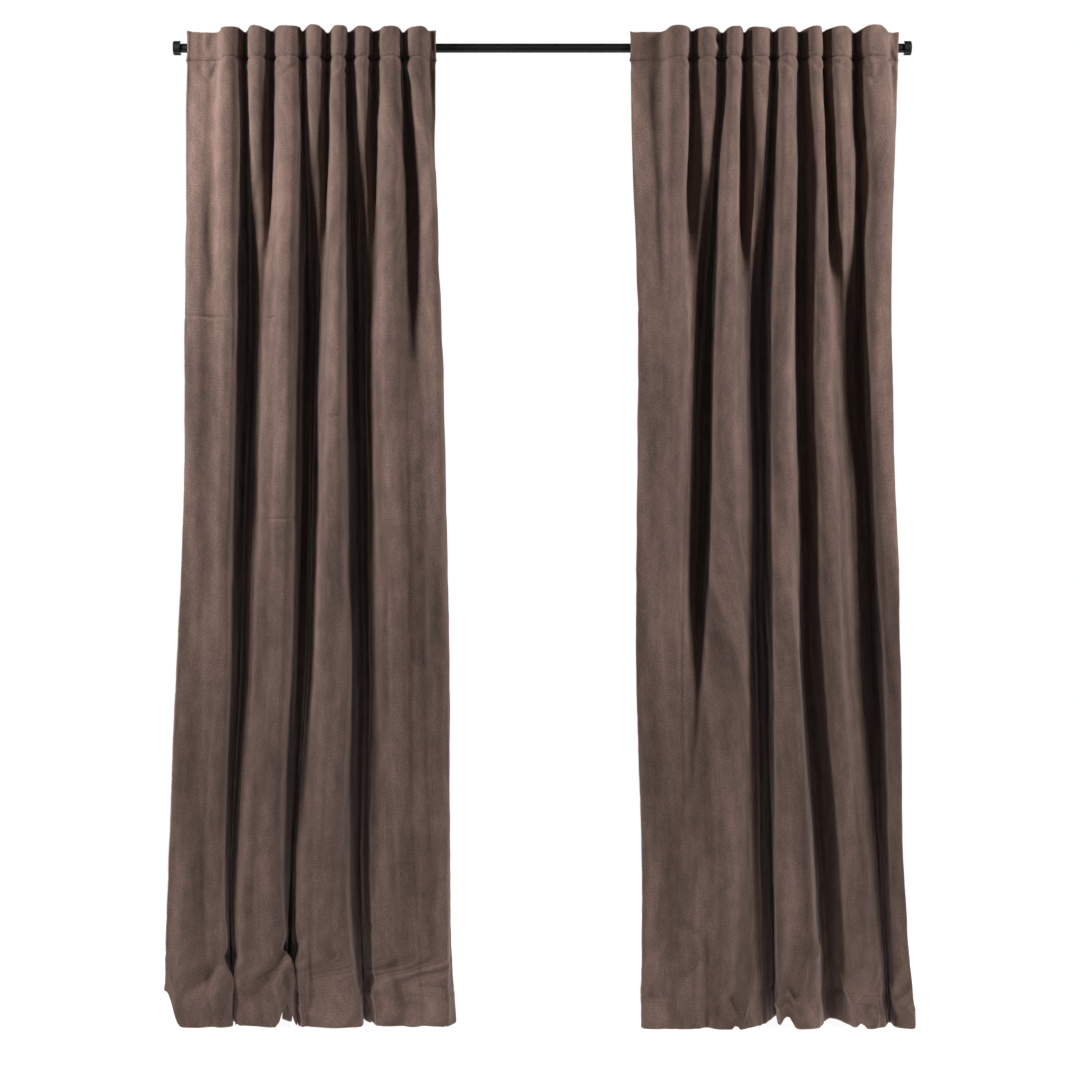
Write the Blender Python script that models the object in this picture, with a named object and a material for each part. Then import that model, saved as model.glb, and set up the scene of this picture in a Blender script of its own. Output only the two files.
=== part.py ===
"""A pair of lined velvet curtain panels, hung by back tabs on a black metal rod.

Frame: +Z up, the room is at -Y. The origin lies on the wall, midway between the two
brackets and level with the rod's axis. Everything is in metres.

Each panel is cloth of one flat width, drawn together on the rod. Its layers (face,
heading facing, lining, hem and side turnings) follow the same folds, which are worked
out level by level: eight arches between nine tabs at the heading, and broad folds below.
"""

import math

import bmesh
import bpy
import numpy as np
from mathutils import Matrix, Vector

# ---------------------------------------------------------------- driving dimensions

# Cloth
PANEL_FLAT_WIDTH = 1.270
HEADING_RISE = 0.038  # heading's top edge above the rod's axis
POCKET_DEPTH = 0.073  # heading's top edge down to the stitched line
HEM_DEPTH = 0.078
HEM_CLEARANCE = 0.003  # hem above the floor
SIDE_TURNING = 0.040
EDGE_CLOTH = 0.039  # cloth outside the first and last tabs
VELVET = 0.0012
LINING = 0.0008
LINING_SHORTER = 0.025  # lining's lower edge above the hem's
TAB_COUNT = 9
TAB_WIDTH = 0.032
TAB_CLOTH = 0.0014
TAB_END = 0.014  # the length of each sewn end

# Rod, end caps and brackets
ROD_RADIUS = 0.011
ROD_WALL = 0.0013
ROD_LENGTH = 1.762
ROD_TO_WALL = 0.090
ROD_TO_FLOOR = 2.380
CAP_RADIUS = 0.017
CAP_LENGTH = 0.018
CAP_PLUG_LENGTH = 0.022
BRACKET_SPAN = 1.589  # between the two brackets' middles
PLATE_WIDTH = 0.030
PLATE_HEIGHT = 0.076
PLATE_THICKNESS = 0.003
SCREW_SPACING = 0.052
SCREW_RADIUS = 0.002
SCREW_LENGTH = 0.028
SCREW_HEAD_RADIUS = 0.0042
SCREW_HEAD_HEIGHT = 0.0024
ARM_RADIUS = 0.005
CUP_WIDTH = 0.014
CUP_WALL = 0.003
THUMB_RADIUS = 0.002
THUMB_HEAD_RADIUS = 0.0065
THUMB_HEAD_HEIGHT = 0.008
THUMB_NECK = 0.004  # bare shank between the cup and the head

# Fits
SEAT = 0.0003  # between pieces that touch
RUN = 0.0004  # between pieces that slide or turn on each other
SEAM = 0.004  # between the ends of strips that meet on one line

# Modelling
PROFILE_SAMPLES = 69
FORMING_ROWS = 7  # from the stitched line to where the folds are formed
LEVEL_ROWS = 3  # from one level of the fold plan to the next
MIN_ROUNDS = 12  # smoothing of every row below the stitched line
FORMING_ROUNDS = 60  # and more where the heading folds turn into the lower ones
ROUND_SIDES = 24
SMALL_ROUND_SIDES = 12

# ---------------------------------------------------------------- fold plan
# "bays" are the widths between tabs at the heading, from the panel's left edge to its
# right edge, as shares of its gathered width. "slack" is a run of nearly flat cloth at
# the first bay's left end. "bracket_share" is where the bracket stands in the outer bay,
# from its left tab. Each level is (drop below the rod, outline), and an outline lists
# (place across the panel, depth) from left to right: depth 0 is the front of the folds
# and 1 the back, and the real depth follows from the cloth's flat width. A level's drop is
# a share of the height from the rod to the floor.

FORMED_LEVEL = 0.328  # the folds have their full shape from here down
BROAD_LEVEL = 0.655
FLOOR_LEVEL = 1.0

LEFT_PANEL = {
    "name": "left",
    "outer": -1,
    "gathered_width": 0.603,
    "bays": (0.058, 0.161, 0.116, 0.124, 0.101, 0.085, 0.099, 0.121, 0.106, 0.029),
    "slack": 0.040,
    "bracket_share": 0.34,
    "levels": (
        (FORMED_LEVEL, ((-0.01, 0.65), (0.03, 0.15), (0.18, 0.10), (0.235, 0.97), (0.345, 0.15),
                (0.44, 0.15), (0.475, 0.97), (0.55, 0.15), (0.63, 0.15), (0.675, 1.0),
                (0.775, 0.15), (0.90, 0.20), (0.935, 0.55), (1.0, 0.15), (1.03, 0.5))),
        (BROAD_LEVEL, ((-0.06, 0.7), (-0.01, 0.15), (0.175, 0.10), (0.21, 0.97), (0.305, 0.10),
                (0.42, 0.15), (0.45, 1.0), (0.52, 0.12), (0.645, 0.15), (0.70, 1.0),
                (0.81, 0.15), (1.03, 0.10), (1.056, 0.6))),
        (FLOOR_LEVEL, ((-0.09, 0.7), (-0.04, 0.15), (0.15, 0.05), (0.19, 0.85), (0.245, 0.10),
                (0.39, 0.05), (0.435, 0.95), (0.48, 0.10), (0.67, 0.10), (0.735, 0.75),
                (0.83, 0.15), (1.05, 0.10), (1.07, 0.5))),
    ),
}

RIGHT_PANEL = {
    "name": "right",
    "outer": 1,
    "gathered_width": 0.652,
    "bays": (0.055, 0.172, 0.115, 0.084, 0.110, 0.098, 0.080, 0.127, 0.130, 0.029),
    "slack": 0.046,
    "bracket_share": 0.37,
    "levels": (
        (FORMED_LEVEL, ((0.02, 0.4), (0.06, 0.15), (0.19, 0.10), (0.315, 0.95), (0.345, 0.15),
                (0.42, 0.10), (0.525, 0.97), (0.55, 0.15), (0.62, 0.12), (0.675, 0.95),
                (0.695, 0.20), (0.76, 0.10), (0.88, 0.85), (0.90, 0.25), (0.98, 0.10),
                (1.0, 0.5))),
        (BROAD_LEVEL, ((0.03, 0.5), (0.05, 0.15), (0.14, 0.10), (0.26, 0.97), (0.285, 0.15),
                (0.42, 0.10), (0.53, 1.0), (0.555, 0.15), (0.655, 0.10), (0.735, 0.95),
                (0.75, 0.20), (0.835, 0.10), (0.935, 0.85), (0.955, 0.25), (1.01, 0.12),
                (1.026, 0.5))),
        (FLOOR_LEVEL, ((0.05, 0.55), (0.07, 0.15), (0.12, 0.10), (0.185, 0.90), (0.22, 0.15),
                (0.43, 0.05), (0.54, 0.95), (0.575, 0.15), (0.70, 0.10), (0.80, 0.90),
                (0.83, 0.15), (0.91, 0.10), (0.965, 0.80), (0.995, 0.20), (1.055, 0.12),
                (1.075, 0.5))),
    ),
}

PANELS = (LEFT_PANEL, RIGHT_PANEL)

# ---------------------------------------------------------------- derived places

ROD_Y = -ROD_TO_WALL
FACING_NEAR = SEAT
FACING_FAR = FACING_NEAR + VELVET
LINING_NEAR = FACING_FAR + SEAT
LINING_FAR = LINING_NEAR + LINING
ROD_FRONT_Y = ROD_Y - ROD_RADIUS
CLOTH_Y = ROD_FRONT_Y - RUN - FACING_FAR  # the face's back where a tab holds it
FOLD_MIDDLE_Y = -0.097
HEADING_TOP = HEADING_RISE
STITCH_LINE = HEADING_RISE - POCKET_DEPTH
HEM_BOTTOM = -ROD_TO_FLOOR + HEM_CLEARANCE
HEM_TOP = HEM_BOTTOM + HEM_DEPTH
LINING_BOTTOM = HEM_BOTTOM + LINING_SHORTER
FOLDS_START = STITCH_LINE - 0.02
FOLDS_FORMED = -FORMED_LEVEL * ROD_TO_FLOOR


# ---------------------------------------------------------------- scene and materials


def clear_scene():
    for obj in list(bpy.data.objects):
        bpy.data.objects.remove(obj, do_unlink=True)


def material(name, colour, roughness, metallic=0.0):
    made = bpy.data.materials.new(name)
    made.use_nodes = True
    shader = made.node_tree.nodes["Principled BSDF"]
    shader.inputs["Base Color"].default_value = (*colour, 1.0)
    shader.inputs["Roughness"].default_value = roughness
    shader.inputs["Metallic"].default_value = metallic
    made.diffuse_color = (*colour, 1.0)
    return made


def add_object(name, bm, finish, smooth=False, origin=(0, 0, 0)):
    """Makes the object with its origin at the given point; the mesh is given in world places."""
    bmesh.ops.translate(bm, verts=bm.verts, vec=-Vector(origin))
    mesh = bpy.data.meshes.new(name)
    bm.to_mesh(mesh)
    bm.free()
    mesh.materials.append(finish)
    if smooth:
        mesh.shade_smooth()
        mesh.set_sharp_from_angle(angle=math.radians(35))
    obj = bpy.data.objects.new(name, mesh)
    obj.location = origin
    bpy.context.scene.collection.objects.link(obj)
    return obj


# ---------------------------------------------------------------- solids of the hardware


def turned(profile, start, axis, sides):
    """A closed turned solid from (distance along the axis, radius) pairs, radius 0 at both ends."""
    bm = bmesh.new()
    turn = Vector((0, 0, 1)).rotation_difference(Vector(axis)).to_matrix().to_4x4()
    place = Matrix.Translation(start) @ turn
    rings = []
    for along, radius in profile:
        if radius == 0:
            rings.append([bm.verts.new(place @ Vector((0, 0, along)))])
            continue
        ring = []
        for i in range(sides):
            angle = 2 * math.pi * i / sides
            point = Vector((radius * math.cos(angle), radius * math.sin(angle), along))
            ring.append(bm.verts.new(place @ point))
        rings.append(ring)
    for low, high in zip(rings, rings[1:]):
        for i in range(sides):
            j = (i + 1) % sides
            if len(low) == 1:
                bm.faces.new((low[0], high[j], high[i]))
            elif len(high) == 1:
                bm.faces.new((low[i], low[j], high[0]))
            else:
                bm.faces.new((low[i], low[j], high[j], high[i]))
    return bm


def tube(x_from, x_to, y, z, outer, inner, sides):
    """An open pipe along X."""
    bm = bmesh.new()
    rings = []
    for x, radius in ((x_from, outer), (x_to, outer), (x_to, inner), (x_from, inner)):
        ring = []
        for i in range(sides):
            angle = 2 * math.pi * i / sides
            ring.append(bm.verts.new((x, y + radius * math.cos(angle), z + radius * math.sin(angle))))
        rings.append(ring)
    for a, b in zip(rings, rings[1:] + rings[:1]):
        for i in range(sides):
            j = (i + 1) % sides
            bm.faces.new((a[i], a[j], b[j], b[i]))
    bmesh.ops.recalc_face_normals(bm, faces=bm.faces)
    return bm


def prism(outline, x_from, x_to):
    """A solid along X with a closed outline of (y, z) points."""
    bm = bmesh.new()
    near = [bm.verts.new((x_from, y, z)) for y, z in outline]
    far = [bm.verts.new((x_to, y, z)) for y, z in outline]
    bm.faces.new(near)
    bm.faces.new(far[::-1])
    for i in range(len(outline)):
        j = (i + 1) % len(outline)
        bm.faces.new((near[i], far[i], far[j], near[j]))
    bmesh.ops.recalc_face_normals(bm, faces=bm.faces)
    bmesh.ops.triangulate(bm, faces=[f for f in bm.faces if len(f.verts) > 4])
    return bm


def block(low, high, edge=0.0):
    bm = bmesh.new()
    bmesh.ops.create_cube(bm, size=1.0)
    for vert in bm.verts:
        for axis in range(3):
            vert.co[axis] = low[axis] if vert.co[axis] < 0 else high[axis]
    if edge:
        bmesh.ops.bevel(bm, geom=bm.edges[:], offset=edge, segments=1, affect="EDGES", profile=0.5)
    return bm


def cut(obj, bm_cutter, name):
    """Takes the cutter out of the object with a Boolean that stays on it."""
    mesh = bpy.data.meshes.new(name)
    bm_cutter.to_mesh(mesh)
    bm_cutter.free()
    cutter = bpy.data.objects.new(name, mesh)
    cutter.hide_render = True
    cutter.display_type = "WIRE"
    bpy.context.scene.collection.objects.link(cutter)
    boolean = obj.modifiers.new(name, "BOOLEAN")
    boolean.operation = "DIFFERENCE"
    boolean.solver = "EXACT"
    boolean.object = cutter


def arc(middle, radius, start, end, steps):
    """(y, z) points on a circle; angle 0 points to +Y and a quarter turn to +Z."""
    points = []
    for i in range(steps + 1):
        angle = math.radians(start + (end - start) * i / steps)
        points.append((middle[0] + radius * math.cos(angle), middle[1] + radius * math.sin(angle)))
    return points


def strip_outline(path, thickness):
    """The closed outline of a strip whose middle follows the path, both as (y, z) points."""
    path = np.array(path)
    run = np.gradient(path, axis=0)
    run /= np.linalg.norm(run, axis=1)[:, None]
    side = np.column_stack((-run[:, 1], run[:, 0])) * thickness / 2
    return [tuple(p) for p in path + side] + [tuple(p) for p in (path - side)[::-1]]


# ---------------------------------------------------------------- folds


def arch(start, end, length, samples):
    """Cloth of the given length that bulges towards -Y between two points, tangent to their chord."""
    chord = math.dist(start, end)
    turn = math.atan2(end[1] - start[1], end[0] - start[0])
    share = (np.arange(samples) + 0.5) / samples
    low, high = 0.0, 2.4
    for _ in range(50):
        bend = (low + high) / 2
        if np.cos(bend * np.sin(2 * np.pi * share)).mean() * length > chord:
            low = bend
        else:
            high = bend
    angles = turn - bend * np.sin(2 * np.pi * share)
    steps = np.column_stack((np.cos(angles), np.sin(angles))) * length / samples
    return np.vstack((start, start + np.cumsum(steps, axis=0)))


def spline(points, steps=24):
    """A smooth curve through the points, with centripetal spacing so that it never loops."""
    p = np.array(points, float)
    p = np.vstack((2 * p[0] - p[1], p, 2 * p[-1] - p[-2]))
    curve = []
    for a, b, c, d in zip(p, p[1:], p[2:], p[3:]):
        ab, bc, cd = (max(math.dist(m, n), 1e-6) ** 0.5 for m, n in ((a, b), (b, c), (c, d)))
        leave = ((b - a) / ab - (c - a) / (ab + bc) + (c - b) / bc) * bc
        arrive = ((c - b) / bc - (d - b) / (bc + cd) + (d - c) / cd) * bc
        t = np.linspace(0, 1, steps, endpoint=False)[:, None]
        curve.append(
            (2 * t**3 - 3 * t**2 + 1) * b
            + (t**3 - 2 * t**2 + t) * leave
            + (3 * t**2 - 2 * t**3) * c
            + (t**3 - t**2) * arrive
        )
    return np.vstack(curve + [p[-2:-1]])


def curve_length(curve):
    return np.linalg.norm(np.diff(curve, axis=0), axis=1).sum()


def evenly(curve, samples):
    """The curve at places spaced evenly along it."""
    along = np.concatenate(([0], np.cumsum(np.linalg.norm(np.diff(curve, axis=0), axis=1))))
    places = np.linspace(0, along[-1], samples)
    return np.column_stack([np.interp(places, along, curve[:, i]) for i in (0, 1)])


def soften(curve, rounds):
    """Rounds the tips of the folds."""
    for _ in range(rounds):
        curve[1:-1] = (curve[:-2] + 2 * curve[1:-1] + curve[2:]) / 4
    return curve


def tab_places(panel):
    """X of each tab's middle, from the panel's left edge to its right edge."""
    widths = np.array(panel["bays"]) / sum(panel["bays"]) * panel["gathered_width"]
    places = np.cumsum(widths)[:-1]
    bracket = panel["outer"] * BRACKET_SPAN / 2
    first = 0 if panel["outer"] < 0 else TAB_COUNT - 2
    in_bay = places[first] + panel["bracket_share"] * (places[first + 1] - places[first])
    return places + bracket - in_bay, bracket - in_bay


def heading_curve(panel, samples):
    """The face's back in plan at the heading: an arch of cloth in each bay between two tabs."""
    tabs, left_edge = tab_places(panel)
    right_edge = left_edge + panel["gathered_width"]
    bay_cloth = (PANEL_FLAT_WIDTH - 2 * EDGE_CLOTH) / (TAB_COUNT - 1)
    fine = 60
    parts = [arch((left_edge, CLOTH_Y), (tabs[0], CLOTH_Y), EDGE_CLOTH, fine)]
    slack = panel["slack"]
    lean = math.radians(20)
    slack_end = (tabs[0] + slack * math.cos(lean), CLOTH_Y - slack * math.sin(lean))
    parts.append(np.array(((tabs[0], CLOTH_Y), slack_end)))
    starts = [slack_end] + [(x, CLOTH_Y) for x in tabs[1:-1]]
    for k, (start, x_end) in enumerate(zip(starts, tabs[1:])):
        length = bay_cloth - (slack if k == 0 else 0)
        parts.append(arch(start, (x_end, CLOTH_Y), length, fine))
    parts.append(arch((tabs[-1], CLOTH_Y), (right_edge, CLOTH_Y), EDGE_CLOTH, fine))
    return evenly(np.vstack(parts), samples), left_edge


def fold_curve(panel, outline, left_edge, samples):
    """The face's back in plan lower down: the fold depth that uses up the flat width."""
    points = np.array(outline)
    width = panel["gathered_width"]
    low, high = 0.01, 0.30
    for _ in range(40):
        depth = (low + high) / 2
        flat = np.column_stack((points[:, 0] * width, points[:, 1] * depth))
        curve = soften(evenly(spline(flat), 4 * samples), 60)
        if curve_length(curve) < PANEL_FLAT_WIDTH:
            low = depth
        else:
            high = depth
    curve = evenly(curve, samples)
    middle = (curve[:, 1].min() + curve[:, 1].max()) / 2
    return curve + (left_edge, FOLD_MIDDLE_Y - middle)


def at_length(curve, middle_y):
    """The same folds, made as deep as the flat width needs."""
    low, high = 0.5, 2.0
    for _ in range(30):
        scale = (low + high) / 2
        tried = curve * (1, scale) + (0, middle_y * (1 - scale))
        if curve_length(tried) < PANEL_FLAT_WIDTH:
            low = scale
        else:
            high = scale
    return tried


def row_heights(levels):
    """The heights of the rows, closest together where the folds change most."""
    heights = [HEADING_TOP]
    heights += list(np.linspace(STITCH_LINE, levels[0], FORMING_ROWS, endpoint=False))
    for above, below in zip(levels, levels[1:-1]):
        heights += list(np.linspace(above, below, LEVEL_ROWS, endpoint=False))
    heights += list(np.linspace(levels[-2], HEM_TOP, LEVEL_ROWS + 1))
    return heights + [LINING_BOTTOM, HEM_BOTTOM]


def panel_rows(panel):
    """The face's back surface, as a list of (z, plan curve) from the heading to the hem."""
    fine = 4 * PROFILE_SAMPLES - 3
    heading, left_edge = heading_curve(panel, fine)
    formed = []
    for drop, outline in panel["levels"]:
        formed.append((-drop * ROD_TO_FLOOR, fold_curve(panel, outline, left_edge, fine)))
    facing_back = offset(heading[::4], FACING_FAR)[:, 1].max()
    heading[:, 1] += ROD_FRONT_Y - RUN - facing_back
    rows = []
    for z in row_heights([z for z, _ in formed]):
        if z >= FOLDS_START:
            curve = heading
        elif z > FOLDS_FORMED:
            t = (FOLDS_START - z) / (FOLDS_START - FOLDS_FORMED)
            share = 3 * t**2 - 2 * t**3
            front = (1 - share) * heading[:, 1].min() + share * formed[0][1][:, 1].min()
            hump = 27 / 4 * share**2 * (1 - share)  # 1 at its highest
            rounds = MIN_ROUNDS + round(hump * FORMING_ROUNDS)
            mixed = soften((1 - share) * heading + share * formed[0][1], rounds)
            curve = at_length(mixed, mixed[:, 1].mean())
            curve[:, 1] += front - curve[:, 1].min()
        else:
            for (z_a, a), (z_b, b) in zip(formed, formed[1:]):
                if z_b <= z <= z_a:
                    t = (z_a - z) / (z_a - z_b)
                    curve = at_length((1 - t) * a + t * b, FOLD_MIDDLE_Y)
        rows.append((z, curve[::4]))
    return rows


def offset(curve, distance):
    """The plan curve moved back, with mitred corners so that every layer stays parallel."""
    run = np.diff(curve, axis=0)
    run /= np.linalg.norm(run, axis=1)[:, None]
    side = np.column_stack((-run[:, 1], run[:, 0]))
    before = np.vstack((side[:1], side))
    after = np.vstack((side, side[-1:]))
    mitre = (before + after) / (1 + (before * after).sum(axis=1))[:, None]
    return curve + distance * mitre


def curve_at(rows, height):
    """The plan curve at a height, on the straight line between the rows above and below."""
    for (z_a, a), (z_b, b) in zip(rows, rows[1:]):
        if z_b <= height <= z_a:
            t = (z_a - height) / (z_a - z_b)
            return (1 - t) * a + t * b


def quad(bm, a, b, c, d):
    """Two triangles with the diagonal from a to c, so that neighbouring layers bend alike."""
    bm.faces.new((a, b, c))
    bm.faces.new((a, c, d))


def layer(rows, near, far, top, bottom, left=0.0, right=0.0):
    """A closed sheet that lies between two distances behind the face's back.

    left and right are the shares of the flat width that it leaves out at its edges.
    """
    kept = [(top, curve_at(rows, top))]
    kept += [(z, curve) for z, curve in rows if bottom < z < top]
    kept += [(bottom, curve_at(rows, bottom))]
    count = len(kept[0][1])
    first = round(left * (count - 1))
    last = count - round(right * (count - 1))
    bm = bmesh.new()
    front, rear = (
        [[bm.verts.new((x, y, z)) for x, y in offset(curve, distance)[first:last]] for z, curve in kept]
        for distance in (near, far)
    )
    for r in range(len(kept) - 1):
        for i in range(last - first - 1):
            quad(bm, front[r][i], front[r + 1][i], front[r + 1][i + 1], front[r][i + 1])
            quad(bm, rear[r][i], rear[r][i + 1], rear[r + 1][i + 1], rear[r + 1][i])
        quad(bm, front[r][0], rear[r][0], rear[r + 1][0], front[r + 1][0])
        quad(bm, front[r][-1], front[r + 1][-1], rear[r + 1][-1], rear[r][-1])
    for i in range(last - first - 1):
        quad(bm, front[0][i], front[0][i + 1], rear[0][i + 1], rear[0][i])
        quad(bm, front[-1][i], rear[-1][i], rear[-1][i + 1], front[-1][i + 1])
    return bm


def make_panel(panel, rows, velvet, lining_cloth):
    name = panel["name"]
    face = layer(rows, -VELVET, 0.0, HEADING_TOP, HEM_BOTTOM)
    add_object(f"{name}_face_panel", face, velvet, smooth=True)
    facing = layer(rows, FACING_NEAR, FACING_FAR, HEADING_TOP, STITCH_LINE)
    add_object(f"{name}_heading_facing", facing, velvet, smooth=True)
    hem = layer(rows, FACING_NEAR, FACING_FAR, HEM_TOP, HEM_BOTTOM)
    add_object(f"{name}_hem_facing", hem, velvet, smooth=True)
    turned_share = SIDE_TURNING / PANEL_FLAT_WIDTH
    for side, left, right in (("left", 0, 1 - turned_share), ("right", 1 - turned_share, 0)):
        strip = layer(rows, FACING_NEAR, FACING_FAR, STITCH_LINE - SEAM, HEM_TOP + SEAM, left, right)
        add_object(f"{name}_{side}_turning", strip, velvet, smooth=True)
    inset = turned_share / 2
    lining = layer(rows, LINING_NEAR, LINING_FAR, STITCH_LINE, LINING_BOTTOM, inset, inset)
    add_object(f"{name}_lining", lining, lining_cloth, smooth=True)


def tab_outline(rows):
    """A back tab in side view: sewn on above the rod, over it, down behind it and sewn on below."""
    tab_foot = STITCH_LINE + 0.008 - TAB_END
    facing_back = offset(rows[0][1], FACING_FAR)[:, 1].max()
    lining_back = offset(curve_at(rows, tab_foot), LINING_FAR)[:, 1].max()
    upper_y = facing_back + SEAT + TAB_CLOTH / 2
    lower_y = lining_back + SEAT + TAB_CLOTH / 2
    middle = (ROD_Y, 0.0)
    radius = ROD_RADIUS + RUN + TAB_CLOTH / 2
    path = [(upper_y, HEADING_TOP - 0.003), (upper_y, HEADING_TOP - 0.003 - TAB_END)]
    path += arc(middle, radius, 105, -75, 9)
    path += [(lower_y, tab_foot + TAB_END), (lower_y, tab_foot)]
    return strip_outline(path, TAB_CLOTH)


def make_tabs(panel, rows, velvet):
    outline = tab_outline(rows)
    tabs, _ = tab_places(panel)
    if panel["outer"] > 0:
        tabs = tabs[::-1]
    for number, x in enumerate(tabs):
        bm = prism(outline, x - TAB_WIDTH / 2, x + TAB_WIDTH / 2)
        add_object(f"{panel['name']}_tab_{number}", bm, velvet, origin=(x, ROD_Y, 0))


# ---------------------------------------------------------------- rod and brackets


def make_rod(black):
    half = ROD_LENGTH / 2
    pipe = tube(-half, half, ROD_Y, 0, ROD_RADIUS, ROD_RADIUS - ROD_WALL, ROUND_SIDES)
    add_object("rod_tube", pipe, black, smooth=True, origin=(0, ROD_Y, 0))
    plug = ROD_RADIUS - ROD_WALL - SEAT
    edge = 0.0012
    for side, name in ((-1, "left"), (1, "right")):
        profile = (
            (-CAP_PLUG_LENGTH, 0),
            (-CAP_PLUG_LENGTH, plug),
            (SEAT, plug),
            (SEAT, CAP_RADIUS - edge),
            (SEAT + edge, CAP_RADIUS),
            (SEAT + CAP_LENGTH - edge, CAP_RADIUS),
            (SEAT + CAP_LENGTH, CAP_RADIUS - edge),
            (SEAT + CAP_LENGTH, 0),
        )
        start = (side * half, ROD_Y, 0)
        cap = turned(profile, start, (side, 0, 0), ROUND_SIDES)
        add_object(f"end_cap_{name}", cap, black, smooth=True, origin=start)


def make_bracket(side, name, black, steel):
    x = side * BRACKET_SPAN / 2
    cup_radius = ROD_RADIUS + RUN
    cup_outer = cup_radius + CUP_WALL
    middle = (ROD_Y, 0.0)

    low = (x - PLATE_WIDTH / 2, -PLATE_THICKNESS, -PLATE_HEIGHT / 2)
    high = (x + PLATE_WIDTH / 2, 0, PLATE_HEIGHT / 2)
    plate = add_object(f"bracket_{name}_plate", block(low, high, 0.0008), black)
    for level, z in (("upper", SCREW_SPACING / 2), ("lower", -SCREW_SPACING / 2)):
        hole = ((-0.01, 0), (-0.01, SCREW_RADIUS + SEAT), (0.01, SCREW_RADIUS + SEAT), (0.01, 0))
        bore = turned(hole, (x, 0, z), (0, 1, 0), SMALL_ROUND_SIDES)
        cut(plate, bore, f"bracket_{name}_{level}_hole")
        face = -PLATE_THICKNESS - SEAT
        screw = (
            (face - SCREW_HEAD_HEIGHT, 0),
            (face - SCREW_HEAD_HEIGHT, SCREW_HEAD_RADIUS * 0.7),
            (face - SCREW_HEAD_HEIGHT * 0.45, SCREW_HEAD_RADIUS),
            (face, SCREW_HEAD_RADIUS),
            (face, SCREW_RADIUS),
            (face + SCREW_LENGTH * 0.85, SCREW_RADIUS),
            (face + SCREW_LENGTH, 0),
        )
        body = turned(screw, (x, 0, z), (0, 1, 0), SMALL_ROUND_SIDES)
        add_object(f"bracket_{name}_{level}_screw", body, steel, smooth=True, origin=(x, 0, z))

    arm_end = ROD_Y + cup_outer + SEAT
    arm_start = -PLATE_THICKNESS - SEAT
    length = arm_start - arm_end
    arm_shape = ((0, 0), (0, ARM_RADIUS), (length, ARM_RADIUS), (length, 0))
    arm = turned(arm_shape, (x, arm_start, -ARM_RADIUS), (0, -1, 0), SMALL_ROUND_SIDES)
    add_object(f"bracket_{name}_arm", arm, black, smooth=True, origin=(x, arm_start, -ARM_RADIUS))

    pad = [(ROD_Y + cup_outer, -2 * ARM_RADIUS), (ROD_Y + cup_outer, 0.0)]
    outline = arc(middle, cup_radius, 180, 360, 14) + pad[::-1]
    outline += arc(middle, cup_outer, 320, 180, 12)
    cup = add_object(f"bracket_{name}_cup", prism(outline, x - CUP_WIDTH / 2, x + CUP_WIDTH / 2), black)
    reach = 2 * cup_outer
    thread = ((0, 0), (0, THUMB_RADIUS + SEAT), (reach, THUMB_RADIUS + SEAT), (reach, 0))
    bore = turned(thread, (x, ROD_Y, 0), (0, 0, -1), SMALL_ROUND_SIDES)
    cut(cup, bore, f"bracket_{name}_thread")

    tip = -ROD_RADIUS - RUN
    neck = -cup_outer - THUMB_NECK
    thumb = (
        (neck - THUMB_HEAD_HEIGHT, 0),
        (neck - THUMB_HEAD_HEIGHT, THUMB_HEAD_RADIUS * 0.85),
        (neck - THUMB_HEAD_HEIGHT * 0.85, THUMB_HEAD_RADIUS),
        (neck - THUMB_HEAD_HEIGHT * 0.15, THUMB_HEAD_RADIUS),
        (neck, THUMB_HEAD_RADIUS * 0.85),
        (neck, THUMB_RADIUS),
        (tip, THUMB_RADIUS),
        (tip, 0),
    )
    body = turned(thumb, (x, ROD_Y, 0), (0, 0, 1), SMALL_ROUND_SIDES)
    add_object(f"bracket_{name}_thumbscrew", body, black, smooth=True, origin=(x, ROD_Y, neck))


def main():
    clear_scene()
    velvet = material("taupe_velvet", (0.13, 0.085, 0.072), 0.85)
    lining_cloth = material("dark_lining", (0.035, 0.030, 0.030), 0.80)
    black = material("black_satin_metal", (0.012, 0.012, 0.013), 0.38, 0.6)
    steel = material("zinc_screw", (0.45, 0.45, 0.46), 0.35, 1.0)
    make_rod(black)
    make_bracket(-1, "left", black, steel)
    make_bracket(1, "right", black, steel)
    for panel in PANELS:
        rows = panel_rows(panel)
        make_panel(panel, rows, velvet, lining_cloth)
        make_tabs(panel, rows, velvet)


main()
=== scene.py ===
# %% [markdown]
# # A pair of velvet curtains on a black rod
#
# Two lined velvet panels hang by loops sewn to their backs on one metal rod. The frame that
# is loaded here holds the plain solids of every piece, in metres, with +Z up, the wall at
# y = 0 and the room at -Y. This script dresses them. Cloth can be dropped into folds of its own
# by a simulation, and none is run here: the folds are laid from a plan, on a fine grid, so
# that each stands where the real one does. The loops get softened edges, and the metal keeps
# its meshes.

import math

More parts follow.
